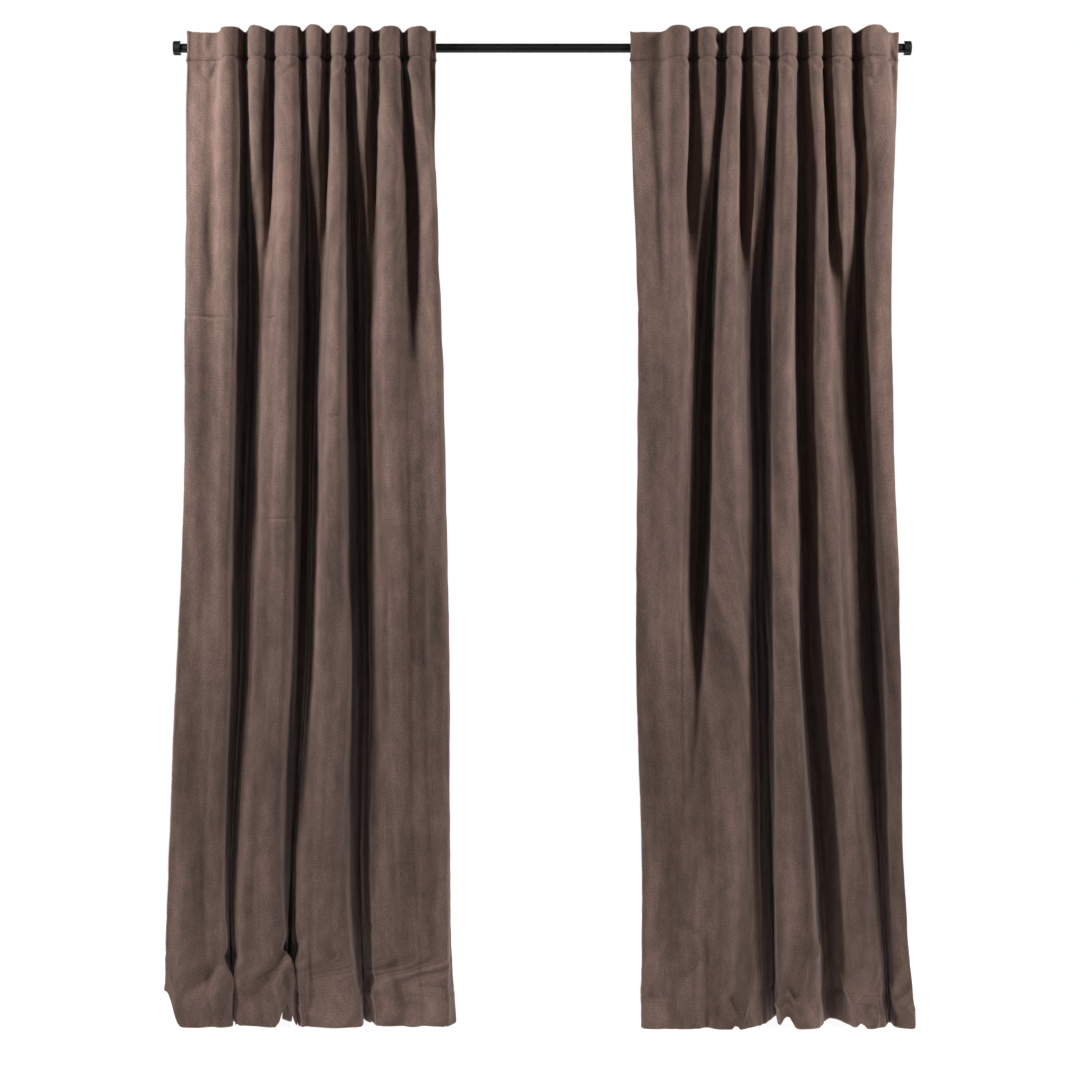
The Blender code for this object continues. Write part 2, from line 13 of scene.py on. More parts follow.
import bmesh
import bpy
import numpy as np
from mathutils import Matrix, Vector


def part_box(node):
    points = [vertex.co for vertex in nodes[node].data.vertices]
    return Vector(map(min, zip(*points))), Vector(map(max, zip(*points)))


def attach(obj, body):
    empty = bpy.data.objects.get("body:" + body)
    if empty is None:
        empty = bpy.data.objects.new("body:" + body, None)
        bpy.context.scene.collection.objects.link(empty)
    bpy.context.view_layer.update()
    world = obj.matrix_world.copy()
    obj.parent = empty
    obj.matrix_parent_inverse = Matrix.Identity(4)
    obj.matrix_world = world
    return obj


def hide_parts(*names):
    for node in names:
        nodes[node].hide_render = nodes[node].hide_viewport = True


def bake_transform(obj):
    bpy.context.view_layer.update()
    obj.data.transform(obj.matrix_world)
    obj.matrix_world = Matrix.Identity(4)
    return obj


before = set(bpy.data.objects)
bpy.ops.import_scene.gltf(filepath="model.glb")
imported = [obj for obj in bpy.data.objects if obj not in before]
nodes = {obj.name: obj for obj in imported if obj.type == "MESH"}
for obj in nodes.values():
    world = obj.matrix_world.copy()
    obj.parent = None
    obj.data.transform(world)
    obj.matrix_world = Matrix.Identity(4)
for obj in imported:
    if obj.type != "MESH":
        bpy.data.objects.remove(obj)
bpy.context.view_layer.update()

# %% [markdown]
# ## Places taken from the frame
#
# Heights and widths are read off the solids: where the rod, the heading and the floor are,
# how deep the pocket and the hem are, and how wide a loop is. The cloth's flat width, its
# side turnings and its thickness can't be read off a folded solid, so they are values here.

# %% Places
rod_low, rod_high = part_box("rod_tube")
ROD_Y = (rod_low.y + rod_high.y) / 2
HEADING_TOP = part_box("left_face_panel")[1].z
HEM_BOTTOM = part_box("left_face_panel")[0].z
STITCH_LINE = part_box("left_heading_facing")[0].z
HEM_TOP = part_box("left_hem_facing")[1].z
LINING_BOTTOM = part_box("left_lining")[0].z
FLOOR = HEM_BOTTOM - 0.003  # the hem just clears it
FLAT_WIDTH = 1.270
SIDE_TURNING = 0.040
POCKET = HEADING_TOP - STITCH_LINE
HEM = HEM_TOP - HEM_BOTTOM
VELVET = 0.0012
PLY_GAP = 0.0006
PLY = VELVET + PLY_GAP  # how far behind the face a turned ply lies
TAB_COUNT = 9
tab_low, tab_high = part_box("left_tab_0")
TAB_WIDTH = tab_high.x - tab_low.x
print("rod at", round(ROD_Y, 4), "heading", round(POCKET, 4), "hem", round(HEM, 4))

# %% [markdown]
# ## Shader maths as expressions
#
# A material is a small program drawn as nodes. `Socket` wraps one output, so that
# `0.2 + 0.5 * mask` adds the Math nodes by itself, and `Material.node` makes any other node
# from its type, its settings and the values or links of its inputs.


# %% Shader helpers
class Socket:
    """One output of a node, which adds Math nodes as it is used in an expression."""

    def __init__(self, tree, output):
        self.tree, self.output = tree, output

    def math(self, operation, *values):
        node = self.tree.nodes.new("ShaderNodeMath")
        node.operation = operation
        for slot, value in zip(node.inputs, values):
            if isinstance(value, Socket):
                self.tree.links.new(value.output, slot)
            else:
                slot.default_value = value
        return Socket(self.tree, node.outputs[0])

    def __add__(self, other):
        return self.math("ADD", self, other)

    def __radd__(self, other):
        return self.math("ADD", other, self)

    def __mul__(self, other):
        return self.math("MULTIPLY", self, other)

    def __rmul__(self, other):
        return self.math("MULTIPLY", other, self)

    def clamp(self):
        return self.math("MINIMUM", self.math("MAXIMUM", self, 0.0), 1.0)


class Material:
    """A material being built: a Principled shader and the nodes that feed it."""

    def __init__(self, name):
        self.made = bpy.data.materials.new(name)
        self.made.use_nodes = True
        self.tree = self.made.node_tree
        self.shader = self.tree.nodes["Principled BSDF"]

    def node(self, kind, settings=None, inputs=None, output=0):
        made = self.tree.nodes.new(kind)
        for name, value in (settings or {}).items():
            setattr(made, name, value)
        for name, value in (inputs or {}).items():
            if isinstance(value, Socket):
                self.tree.links.new(value.output, made.inputs[name])
            else:
                made.inputs[name].default_value = value
        return Socket(self.tree, made.outputs[output])

    def ramp(self, factor, stops):
        made = self.tree.nodes.new("ShaderNodeValToRGB")
        self.tree.links.new(factor.output, made.inputs[0])
        elements = made.color_ramp.elements
        while len(elements) < len(stops):
            elements.new(0.5)
        for element, (position, colour) in zip(elements, stops):
            element.position = position
            element.color = (*colour, 1.0)
        return Socket(self.tree, made.outputs[0])

    def feed(self, **inputs):
        for name, value in inputs.items():
            slot = self.shader.inputs[name.replace("_", " ")]
            if isinstance(value, Socket):
                self.tree.links.new(value.output, slot)
            else:
                slot.default_value = value
        return self.made


# %% [markdown]
# ## Velvet
#
# Velvet is a cut pile: short upright fibres that catch light at grazing angles and go dark
# where the eye looks straight into them. The sheen layer gives the pale edge of each fold.
# The nap never lies quite even, so the colour drifts along soft streaks and small smudges,
# and a fine bump stands for the pile. Everything reads the cloth's own flat coordinates, in
# metres, so the pattern hangs and folds with it.


# %% Velvet material
def velvet_material(name, colour, sheen_tint):
    mat = Material(name)
    flat = mat.node("ShaderNodeUVMap", {"uv_map": "flat_cloth"})

    def noise(per_metre, detail, roughness):
        place = mat.node("ShaderNodeMapping", inputs={"Vector": flat, "Scale": per_metre})
        return mat.node(
            "ShaderNodeTexNoise",
            inputs={"Vector": place, "Scale": 1.0, "Detail": detail, "Roughness": roughness},
        )

    streaks = noise((16.0, 1.8, 1.0), 4.0, 0.55)
    smudges = noise((34.0, 20.0, 1.0), 5.0, 0.62)
    grain = noise((210.0, 300.0, 1.0), 3.0, 0.75)
    pile = noise((900.0, 700.0, 1.0), 2.0, 0.7)
    nap = (0.31 * streaks + 0.15 * smudges + 0.28 * grain + 0.26 * pile).clamp()
    dark = tuple(0.45 * channel for channel in colour)
    pale = tuple(1.85 * channel for channel in colour)
    base = mat.ramp(nap, ((0.40, dark), (0.50, colour), (0.60, pale)))
    height = 0.10 * smudges + 0.36 * grain + 0.54 * pile
    bump = mat.node(
        "ShaderNodeBump",
        inputs={"Height": height, "Strength": 0.30, "Distance": 0.0022},
    )
    mat.feed(Base_Color=base, Roughness=0.80 + 0.15 * smudges, Normal=bump)
    return mat.feed(
        Specular_IOR_Level=0.12,
        Sheen_Weight=0.50,
        Sheen_Roughness=0.34,
        Sheen_Tint=(*sheen_tint, 1.0),
    )


velvet = velvet_material("taupe_velvet_pile", (0.118, 0.077, 0.064), (1.0, 0.80, 0.76))
print("velvet made of", len(velvet.node_tree.nodes), "nodes")

# %% [markdown]
# ## Lining, thread and metal
#
# The lining is a plain dark woven cloth with a slight gloss. The thread matches the velvet,
# a shade darker. The rod is steel with a satin black coat whose roughness drifts a little,
# as powder coat does, and the wall screws are bright zinc.


# %% Plain materials
def lining_material():
    mat = Material("dark_woven_lining")
    flat = mat.node("ShaderNodeUVMap", {"uv_map": "flat_cloth"})
    weave = mat.node(
        "ShaderNodeTexNoise", inputs={"Vector": flat, "Scale": 700.0, "Detail": 2.0}
    )
    base = mat.ramp(weave, ((0.35, (0.020, 0.017, 0.017)), (0.65, (0.036, 0.031, 0.031))))
    bump = mat.node("ShaderNodeBump", inputs={"Height": weave, "Strength": 0.2, "Distance": 0.0005})
    return mat.feed(Base_Color=base, Roughness=0.75, Normal=bump)


def metal_material(name, colour, roughness, metallic, coat):
    mat = Material(name)
    place = mat.node("ShaderNodeTexCoord", output=3)
    grain = mat.node("ShaderNodeTexNoise", inputs={"Vector": place, "Scale": 420.0, "Detail": 3.0})
    cloud = mat.node("ShaderNodeTexNoise", inputs={"Vector": place, "Scale": 9.0, "Detail": 2.0})
    bump = mat.node("ShaderNodeBump", inputs={"Height": grain, "Strength": 0.12, "Distance": 0.0004})
    mat.feed(Roughness=roughness - 0.08 + 0.16 * cloud, Normal=bump)
    return mat.feed(
        Base_Color=(*colour, 1.0), Metallic=metallic, Coat_Weight=coat, Coat_Roughness=0.3
    )


def thread_material():
    mat = Material("taupe_thread")
    place = mat.node("ShaderNodeTexCoord", output=3)
    twist = mat.node("ShaderNodeTexNoise", inputs={"Vector": place, "Scale": 900.0})
    base = mat.ramp(twist, ((0.3, (0.045, 0.030, 0.026)), (0.7, (0.10, 0.066, 0.057))))
    return mat.feed(Base_Color=base, Roughness=0.6)


lining_cloth = lining_material()
black_metal = metal_material("satin_black_coat", (0.012, 0.012, 0.013), 0.36, 0.55, 0.3)
zinc = metal_material("zinc_plate", (0.55, 0.55, 0.56), 0.33, 1.0, 0.0)
thread = thread_material()
print("finishes:", lining_cloth.name, black_metal.name, zinc.name, thread.name)

# %% [markdown]
# ## The fold plan
#
# A gathered heading makes columns of cloth that stand forward, with a loop in each valley
# between them. The first column, at the panel's left edge, is flat and lies over its loop.
# Each level below lists, from the panel's left edge to its right, where the folds are: an
# edge, then nine columns with the valley after each, then the other edge. A column is
# (left, right, depth of its left, depth of its right), a valley or an edge is (place,
# depth). Places are shares of the gathered width, and depth runs from 0 at the front of the
# folds to 1 at the back. Lower down three columns sink back and become the flanks of their
# neighbours: the third, the fifth, and the seventh on the left panel or eighth on the right.

# %% Left panel's folds
# How far below the rod each level lies, from the top edge to the hem.
LEVEL_DROPS = (-0.045, 0.05, 0.30, 0.62, 1.18, 1.50, 2.08, 2.31)

LEFT_PANEL = {
    "name": "left",
    "gathered_width": 0.603,
    "levels": (
        ((0.0, 0.90), (0.012, 0.112, 0.96, 0.92), (0.130, 0.80), (0.139, 0.216, 0.12, 0.12), (0.232, 1.0),
         (0.252, 0.328, 0.12, 0.10), (0.338, 1.0), (0.364, 0.458, 0.10, 0.08), (0.462, 1.0),
         (0.486, 0.553, 0.05, 0.02), (0.563, 1.0), (0.592, 0.647, 0.00, 0.00), (0.648, 1.0),
         (0.678, 0.738, 0.10, 0.08), (0.748, 1.0), (0.780, 0.860, 0.10, 0.08), (0.868, 1.0),
         (0.890, 0.962, 0.10, 0.08), (0.972, 0.97), (1.0, 0.90)),
        ((0.0, 0.84), (0.012, 0.106, 0.88, 0.84), (0.129, 0.74), (0.141, 0.214, 0.12, 0.12), (0.230, 1.0),
         (0.252, 0.325, 0.15, 0.12), (0.338, 1.0), (0.366, 0.458, 0.10, 0.08), (0.462, 1.0),
         (0.490, 0.550, 0.12, 0.10), (0.563, 1.0), (0.590, 0.642, 0.05, 0.05), (0.648, 1.0),
         (0.682, 0.735, 0.15, 0.12), (0.748, 1.0), (0.782, 0.862, 0.10, 0.10), (0.870, 1.0),
         (0.895, 0.962, 0.20, 0.15), (0.974, 0.95), (1.0, 0.86)),
        ((0.0, 0.44), (0.012, 0.082, 0.42, 0.38), (0.110, 0.42), (0.140, 0.208, 0.08, 0.08), (0.228, 1.0),
         (0.262, 0.316, 0.38, 0.36), (0.336, 0.72), (0.375, 0.452, 0.06, 0.04), (0.468, 1.0),
         (0.50, 0.540, 0.42, 0.40), (0.560, 0.74), (0.588, 0.635, 0.08, 0.05), (0.655, 1.0),
         (0.695, 0.728, 0.45, 0.42), (0.752, 0.76), (0.79, 0.86, 0.05, 0.08), (0.895, 0.75),
         (0.94, 0.985, 0.35, 0.25), (0.997, 0.45), (1.003, 0.65)),
        ((0.0, 0.24), (0.012, 0.070, 0.14, 0.12), (0.110, 0.20), (0.150, 0.200, 0.07, 0.08), (0.225, 1.0),
         (0.262, 0.30, 0.70, 0.48), (0.328, 0.34), (0.367, 0.435, 0.08, 0.05), (0.47, 1.0),
         (0.505, 0.525, 0.70, 0.50), (0.546, 0.35), (0.57, 0.63, 0.08, 0.05), (0.668, 1.0),
         (0.705, 0.73, 0.68, 0.50), (0.757, 0.36), (0.785, 0.86, 0.10, 0.10), (0.91, 0.40),
         (0.95, 1.01, 0.25, 0.15), (1.02, 0.30), (1.028, 0.55)),
        ((-0.005, 0.20), (0.008, 0.060, 0.13, 0.09), (0.095, 0.13), (0.130, 0.178, 0.06, 0.08), (0.20, 1.0),
         (0.232, 0.27, 0.68, 0.44), (0.303, 0.30), (0.345, 0.42, 0.10, 0.05), (0.455, 1.0),
         (0.48, 0.505, 0.74, 0.50), (0.527, 0.33), (0.555, 0.63, 0.10, 0.05), (0.68, 1.0),
         (0.715, 0.745, 0.74, 0.50), (0.775, 0.32), (0.81, 0.89, 0.10, 0.12), (0.93, 0.22),
         (0.97, 1.03, 0.12, 0.12), (1.04, 0.30), (1.045, 0.60)),
        ((-0.035, 0.20), (0.0, 0.05, 0.12, 0.09), (0.085, 0.13), (0.120, 0.172, 0.07, 0.09), (0.195, 1.0),
         (0.222, 0.255, 0.66, 0.42), (0.288, 0.28), (0.33, 0.41, 0.10, 0.05), (0.445, 1.0),
         (0.47, 0.495, 0.74, 0.46), (0.518, 0.30), (0.545, 0.645, 0.10, 0.06), (0.69, 1.0),
         (0.72, 0.75, 0.74, 0.46), (0.782, 0.28), (0.815, 0.89, 0.10, 0.10), (0.93, 0.20),
         (0.97, 1.035, 0.10, 0.12), (1.05, 0.30), (1.055, 0.60)),
        ((-0.075, 0.22), (-0.055, 0.0, 0.14, 0.09), (0.04, 0.11), (0.08, 0.150, 0.07, 0.08), (0.158, 0.95),
         (0.176, 0.206, 0.50, 0.30), (0.235, 0.18), (0.265, 0.385, 0.10, 0.06), (0.405, 0.95),
         (0.425, 0.452, 0.48, 0.28), (0.480, 0.17), (0.51, 0.64, 0.10, 0.06), (0.685, 0.95),
         (0.715, 0.755, 0.50, 0.30), (0.805, 0.18), (0.85, 0.92, 0.10, 0.10), (0.96, 0.12),
         (1.0, 1.045, 0.08, 0.12), (1.055, 0.30), (1.06, 0.60)),
        ((-0.085, 0.24), (-0.065, 0.0, 0.15, 0.09), (0.05, 0.09), (0.11, 0.180, 0.06, 0.09), (0.160, 0.80),
         (0.186, 0.200, 0.34, 0.22), (0.212, 0.15), (0.235, 0.43, 0.12, 0.08), (0.385, 0.80),
         (0.434, 0.456, 0.34, 0.20), (0.472, 0.11), (0.49, 0.69, 0.10, 0.08), (0.70, 0.85),
         (0.735, 0.765, 0.36, 0.22), (0.80, 0.15), (0.87, 0.94, 0.10, 0.10), (0.98, 0.12),
         (1.02, 1.055, 0.08, 0.12), (1.065, 0.30), (1.07, 0.55)),
    ),
}

# %% Right panel's folds
RIGHT_PANEL = {
    "name": "right",
    "gathered_width": 0.652,
    "levels": (
        ((0.0, 0.90), (0.010, 0.106, 0.96, 0.92), (0.126, 0.80), (0.135, 0.214, 0.12, 0.10), (0.230, 1.0),
         (0.246, 0.320, 0.12, 0.10), (0.342, 1.0), (0.357, 0.410, 0.00, 0.00), (0.424, 1.0),
         (0.436, 0.514, 0.12, 0.10), (0.533, 1.0), (0.545, 0.610, 0.02, 0.00), (0.630, 1.0),
         (0.655, 0.704, 0.00, 0.00), (0.711, 1.0), (0.726, 0.810, 0.12, 0.10), (0.836, 1.0),
         (0.853, 0.942, 0.10, 0.08), (0.966, 0.97), (1.0, 0.90)),
        ((0.0, 0.84), (0.010, 0.100, 0.88, 0.84), (0.124, 0.72), (0.137, 0.210, 0.14, 0.12), (0.228, 1.0),
         (0.250, 0.315, 0.15, 0.15), (0.340, 1.0), (0.357, 0.405, 0.05, 0.05), (0.424, 1.0),
         (0.440, 0.510, 0.15, 0.15), (0.532, 1.0), (0.547, 0.608, 0.05, 0.05), (0.630, 1.0),
         (0.660, 0.705, 0.10, 0.10), (0.715, 1.0), (0.735, 0.810, 0.15, 0.15), (0.838, 1.0),
         (0.858, 0.945, 0.12, 0.10), (0.967, 0.92), (0.995, 0.84)),
        ((0.005, 0.42), (0.015, 0.080, 0.40, 0.36), (0.110, 0.40), (0.142, 0.192, 0.09, 0.10), (0.22, 0.85),
         (0.26, 0.298, 0.42, 0.40), (0.322, 0.90), (0.35, 0.395, 0.06, 0.05), (0.42, 0.97),
         (0.455, 0.49, 0.40, 0.40), (0.515, 0.95), (0.55, 0.605, 0.06, 0.06), (0.64, 1.0),
         (0.685, 0.72, 0.30, 0.30), (0.742, 0.85), (0.77, 0.812, 0.10, 0.12), (0.85, 0.80),
         (0.885, 0.96, 0.15, 0.12), (0.972, 0.40), (0.978, 0.65)),
        ((0.02, 0.22), (0.030, 0.085, 0.12, 0.12), (0.115, 0.18), (0.145, 0.183, 0.07, 0.09), (0.208, 0.28),
         (0.235, 0.268, 0.44, 0.64), (0.303, 1.0), (0.329, 0.39, 0.10, 0.06), (0.415, 0.32),
         (0.44, 0.472, 0.46, 0.66), (0.508, 1.0), (0.532, 0.588, 0.10, 0.06), (0.64, 0.75),
         (0.685, 0.73, 0.12, 0.10), (0.755, 0.50), (0.79, 0.83, 0.55, 0.65), (0.865, 0.90),
         (0.888, 0.955, 0.15, 0.12), (0.963, 0.35), (0.966, 0.60)),
        ((0.02, 0.18), (0.030, 0.070, 0.11, 0.10), (0.095, 0.12), (0.118, 0.148, 0.08, 0.09), (0.172, 0.19),
         (0.200, 0.238, 0.38, 0.60), (0.275, 0.86), (0.308, 0.395, 0.10, 0.06), (0.42, 0.32),
         (0.445, 0.476, 0.46, 0.66), (0.508, 1.0), (0.528, 0.60, 0.10, 0.07), (0.655, 0.70),
         (0.71, 0.76, 0.12, 0.10), (0.79, 0.40), (0.83, 0.87, 0.50, 0.60), (0.905, 0.85),
         (0.925, 0.975, 0.15, 0.12), (0.983, 0.35), (0.986, 0.60)),
        ((0.02, 0.17), (0.028, 0.066, 0.11, 0.09), (0.088, 0.10), (0.108, 0.136, 0.09, 0.10), (0.160, 0.14),
         (0.185, 0.222, 0.22, 0.32), (0.252, 0.40), (0.285, 0.40, 0.12, 0.06), (0.425, 0.32),
         (0.452, 0.484, 0.46, 0.66), (0.522, 1.0), (0.534, 0.61, 0.10, 0.08), (0.665, 0.75),
         (0.722, 0.775, 0.12, 0.10), (0.81, 0.35), (0.85, 0.885, 0.48, 0.60), (0.925, 0.80),
         (0.945, 0.985, 0.15, 0.12), (0.993, 0.35), (0.996, 0.60)),
        ((0.04, 0.18), (0.050, 0.085, 0.12, 0.10), (0.105, 0.10), (0.125, 0.160, 0.10, 0.11), (0.178, 0.12),
         (0.200, 0.232, 0.13, 0.14), (0.255, 0.14), (0.280, 0.41, 0.10, 0.06), (0.442, 0.28),
         (0.470, 0.500, 0.40, 0.56), (0.548, 0.97), (0.543, 0.665, 0.10, 0.10), (0.73, 0.75),
         (0.79, 0.86, 0.15, 0.10), (0.885, 0.25), (0.91, 0.935, 0.35, 0.50), (0.95, 0.65),
         (0.968, 1.01, 0.18, 0.12), (1.018, 0.35), (1.022, 0.55)),
        ((0.035, 0.20), (0.045, 0.085, 0.13, 0.12), (0.105, 0.12), (0.125, 0.160, 0.12, 0.12), (0.178, 0.12),
         (0.200, 0.232, 0.12, 0.12), (0.255, 0.12), (0.280, 0.42, 0.10, 0.06), (0.450, 0.22),
         (0.475, 0.505, 0.30, 0.42), (0.560, 0.90), (0.548, 0.69, 0.10, 0.10), (0.75, 0.70),
         (0.82, 0.90, 0.15, 0.10), (0.925, 0.22), (0.94, 0.955, 0.30, 0.40), (0.965, 0.50),
         (0.985, 1.04, 0.18, 0.12), (1.05, 0.35), (1.06, 0.50)),
    ),
}
PANELS = (LEFT_PANEL, RIGHT_PANEL)
print("levels in the plans:", [len(panel["levels"]) for panel in PANELS])

# %% [markdown]
# ## Folding the cloth
#
# A column is listed by its two sides only. Its front is rounded here: the sides sit a
# little behind the front, more so at the heading, where the cloth bulges like a barrel.
# At any height the fold points are blended between the two levels above and below, one
# smooth curve is run through them, and its depth is solved so that the curve is as long as
# the cloth is wide. Points of the grid sit at fixed places between fold points, so a crease
# runs down the cloth as one clean line.


# %% Fold curves
# How far a column's sides lie behind its front, as a share of the depth, for each level.
SIDE_SET_BACK = (0.36, 0.28, 0.14, 0.09, 0.08, 0.08, 0.07, 0.07)
FRONT_INSET = 0.22  # where the front begins, as a share of the column's width
WHOLE_SET_BACK_WIDTH = 0.07  # a narrower column is rounded less
BARREL_SET_BACK = 0.2  # above this, as at the heading, narrow columns stay almost as round
FLAT_COLUMN_ROUNDING = 0.15  # the flat first column's share of the set-back
PAST_LAST_LEVEL = 0.07  # how far the hem may run on below the last level
SHALLOWEST = 0.01
DEEPEST = 0.40
HALVINGS = 26


def fold_points(level, set_back):
    """One level as rows of (place, depth)."""
    points = []
    for entry in level:
        if len(entry) == 2:
            points.append(entry)
        else:
            left, right, at_left, at_right = entry
            inset = FRONT_INSET * (right - left)
            narrow = min(1.0, (right - left) / WHOLE_SET_BACK_WIDTH)
            back = set_back * narrow ** (1 if set_back > BARREL_SET_BACK else 3)
            back *= FLAT_COLUMN_ROUNDING if len(points) == 1 else 1.0
            points += [(left, at_left + back), (left + inset, at_left)]
            points += [(right - inset, at_right), (right, at_right + back)]
    return points


def blended(levels, height):
    """The fold points at a height, on a smooth curve through the levels."""
    drops = np.array(LEVEL_DROPS)
    values = np.array([fold_points(level, back) for level, back in zip(levels, SIDE_SET_BACK)])
    slopes = np.gradient(values, drops, axis=0)
    drop = np.clip(-height, drops[0], drops[-1] + PAST_LAST_LEVEL)
    k = int(np.clip(np.searchsorted(drops, drop) - 1, 0, len(drops) - 2))
    span = drops[k + 1] - drops[k]
    t = (drop - drops[k]) / span
    return (
        (2 * t**3 - 3 * t**2 + 1) * values[k]
        + (t**3 - 2 * t**2 + t) * span * slopes[k]
        + (3 * t**2 - 2 * t**3) * values[k + 1]
        + (t**3 - t**2) * span * slopes[k + 1]
    )


def smooth_curve(points, counts):
    """A centripetal curve through the points, with a set number of samples in each stretch."""
    p = np.vstack((2 * points[0] - points[1], points, 2 * points[-1] - points[-2]))
    pieces = []
    for a, b, c, d, count in zip(p, p[1:], p[2:], p[3:], counts):
        ab, bc, cd = (max(math.dist(m, n), 1e-6) ** 0.5 for m, n in ((a, b), (b, c), (c, d)))
        leave = ((b - a) / ab - (c - a) / (ab + bc) + (c - b) / bc) * bc
        arrive = ((c - b) / bc - (d - b) / (bc + cd) + (d - c) / cd) * bc
        t = np.linspace(0, 1, count, endpoint=False)[:, None]
        pieces.append(
            (2 * t**3 - 3 * t**2 + 1) * b
            + (t**3 - 2 * t**2 + t) * leave
            + (3 * t**2 - 2 * t**3) * c
            + (t**3 - t**2) * arrive
        )
    return np.vstack(pieces + [p[-2:-1]])


def soften(curve, rounds):
    for _ in range(rounds):
        curve[1:-1] = (curve[:-2] + 2 * curve[1:-1] + curve[2:]) / 4
    return curve


def length_of(curve):
    return np.linalg.norm(np.diff(curve, axis=0), axis=1).sum()


def plan_curve(panel, height, counts):
    """The cloth in plan, (x from the panel's edge, depth), as deep as its flat width needs."""
    points = blended(panel["levels"], height)
    low, high = SHALLOWEST, DEEPEST
    for _ in range(HALVINGS):
        depth = (low + high) / 2
        curve = smooth_curve(points * (panel["gathered_width"], depth), counts)
        curve = soften(curve, rounds=3)
        if length_of(curve) < FLAT_WIDTH:
            low = depth
        else:
            high = depth
    return curve


# %% [markdown]
# ## Rows of the grid
#
# The rows lie close together where the cloth bends along its height: at the stitches, at the
# marks of the packing folds and at the hem. Where a row comes out deeper than there is room
# for in front of the wall, its depth is scaled down, and the row is then shorter than the
# cloth is wide. A simulation would keep the length, and this doesn't.

# %% Rows of the grid
COLUMNS = 320
SAMPLED_HEIGHTS = (-0.10, -0.30, -0.62, -1.18, -1.50, -2.08)
SAMPLED_DEPTH = 0.12
PACKING_FOLDS = (-0.663, -0.903, -1.149)
PACKING_STEPS = (-0.009, -0.006, -0.0035, -0.0017, 0, 0.0017, 0.0035, 0.006, 0.009)
PACKING_CLEAR = 0.012
STITCHED_BAND = 0.010  # above and below the stitched line
GATHERED_BAND = 0.09  # below the stitched line
MIDDLE_TOP = -0.72
LOWER_TOP = -2.05
RELEASE_START = 0.02  # below the stitched line the folds leave the heading's plane
RELEASE_HEIGHT = 0.60  # and reach the middle of the hem's depth this much lower
FRONT_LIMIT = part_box("left_face_panel")[0].y - 0.002


def smooth_step(value):
    value = np.clip(value, 0.0, 1.0)
    return value * value * (3 - 2 * value)


def rising(value, start, length):
    """0 up to the start, then a smooth rise to 1 over the length."""
    return smooth_step((value - start) / length)


def falling(value, start, length):
    """1 up to the start, then a smooth fall to 0 over the length."""
    return smooth_step(1.0 - (value - start) / length)


def grid_counts(panel, columns):
    """How many grid columns each stretch between fold points gets, from its mean length."""
    spans = 0
    for height in SAMPLED_HEIGHTS:
        points = blended(panel["levels"], height) * (panel["gathered_width"], SAMPLED_DEPTH)
        spans = spans + np.linalg.norm(np.diff(points, axis=0), axis=1)
    share = spans / spans.sum() * columns
    return [max(2, round(value)) for value in share]


def grid_heights():
    """Row heights: close together at the heading and the hem, wider between."""
    band_top = STITCH_LINE + STITCHED_BAND
    band_low = STITCH_LINE - STITCHED_BAND
    gathered_low = STITCH_LINE - GATHERED_BAND
    above = np.linspace(HEADING_TOP, band_top, 22, endpoint=False)
    stitched = np.linspace(band_top, band_low, 17, endpoint=False)
    below = np.linspace(band_low, gathered_low, 24, endpoint=False)
    upper = np.linspace(gathered_low, MIDDLE_TOP, 46, endpoint=False)
    middle = np.linspace(MIDDLE_TOP, LOWER_TOP, 82, endpoint=False)
    lower = np.linspace(LOWER_TOP, HEM_BOTTOM, 70)
    marks = [z + step for z in PACKING_FOLDS for step in PACKING_STEPS]
    spread = [
        row
        for row in (*upper, *middle)
        if all(abs(row - z) > PACKING_CLEAR for z in PACKING_FOLDS)
    ]
    return -np.sort(-np.concatenate((above, stitched, below, spread, marks, lower)))


def place_rows(panel, heights, counts):
    """The folded face as an array [row, column, xyz]."""
    low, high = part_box(f"{panel['name']}_heading_facing")
    heading_back = high.y - PLY
    middle_y = sum(corner.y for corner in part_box(f"{panel['name']}_hem_facing")) / 2
    rows = []
    for z in heights:
        curve = plan_curve(panel, z, counts)
        back = heading_back - curve[:, 1].max()
        middle = middle_y - (curve[:, 1].max() + curve[:, 1].min()) / 2
        share = rising(STITCH_LINE - z, RELEASE_START, RELEASE_HEIGHT)
        y = curve[:, 1] + (1 - share) * back + share * middle
        y = y.max() - (y.max() - y) * min(1.0, (y.max() - FRONT_LIMIT) / np.ptp(y))
        rows.append(np.column_stack((curve[:, 0] + low.x, y, np.full(len(y), z))))
    return np.array(rows)


heights = grid_heights()
for panel in PANELS:
    face = place_rows(panel, heights, grid_counts(panel, COLUMNS))
    panel["face"] = face
    print(panel["name"], "grid", face.shape, "from", face.min(axis=(0, 1)), "to", face.max(axis=(0, 1)))

# %% [markdown]
# ## Creases, puckers and the break on the floor
#
# Folds alone look like pressed tin. Real velvet is drawn in at the stitched line, creases
# in a V below some gathers, keeps faint marks where it was folded in its packet, and breaks
# where the hem meets the floor. Each of these is a line across the cloth: one end as (share
# of the gathered width, height), the other end, how far the cloth moves towards the room
# (away from it where negative), and how wide the mark is.

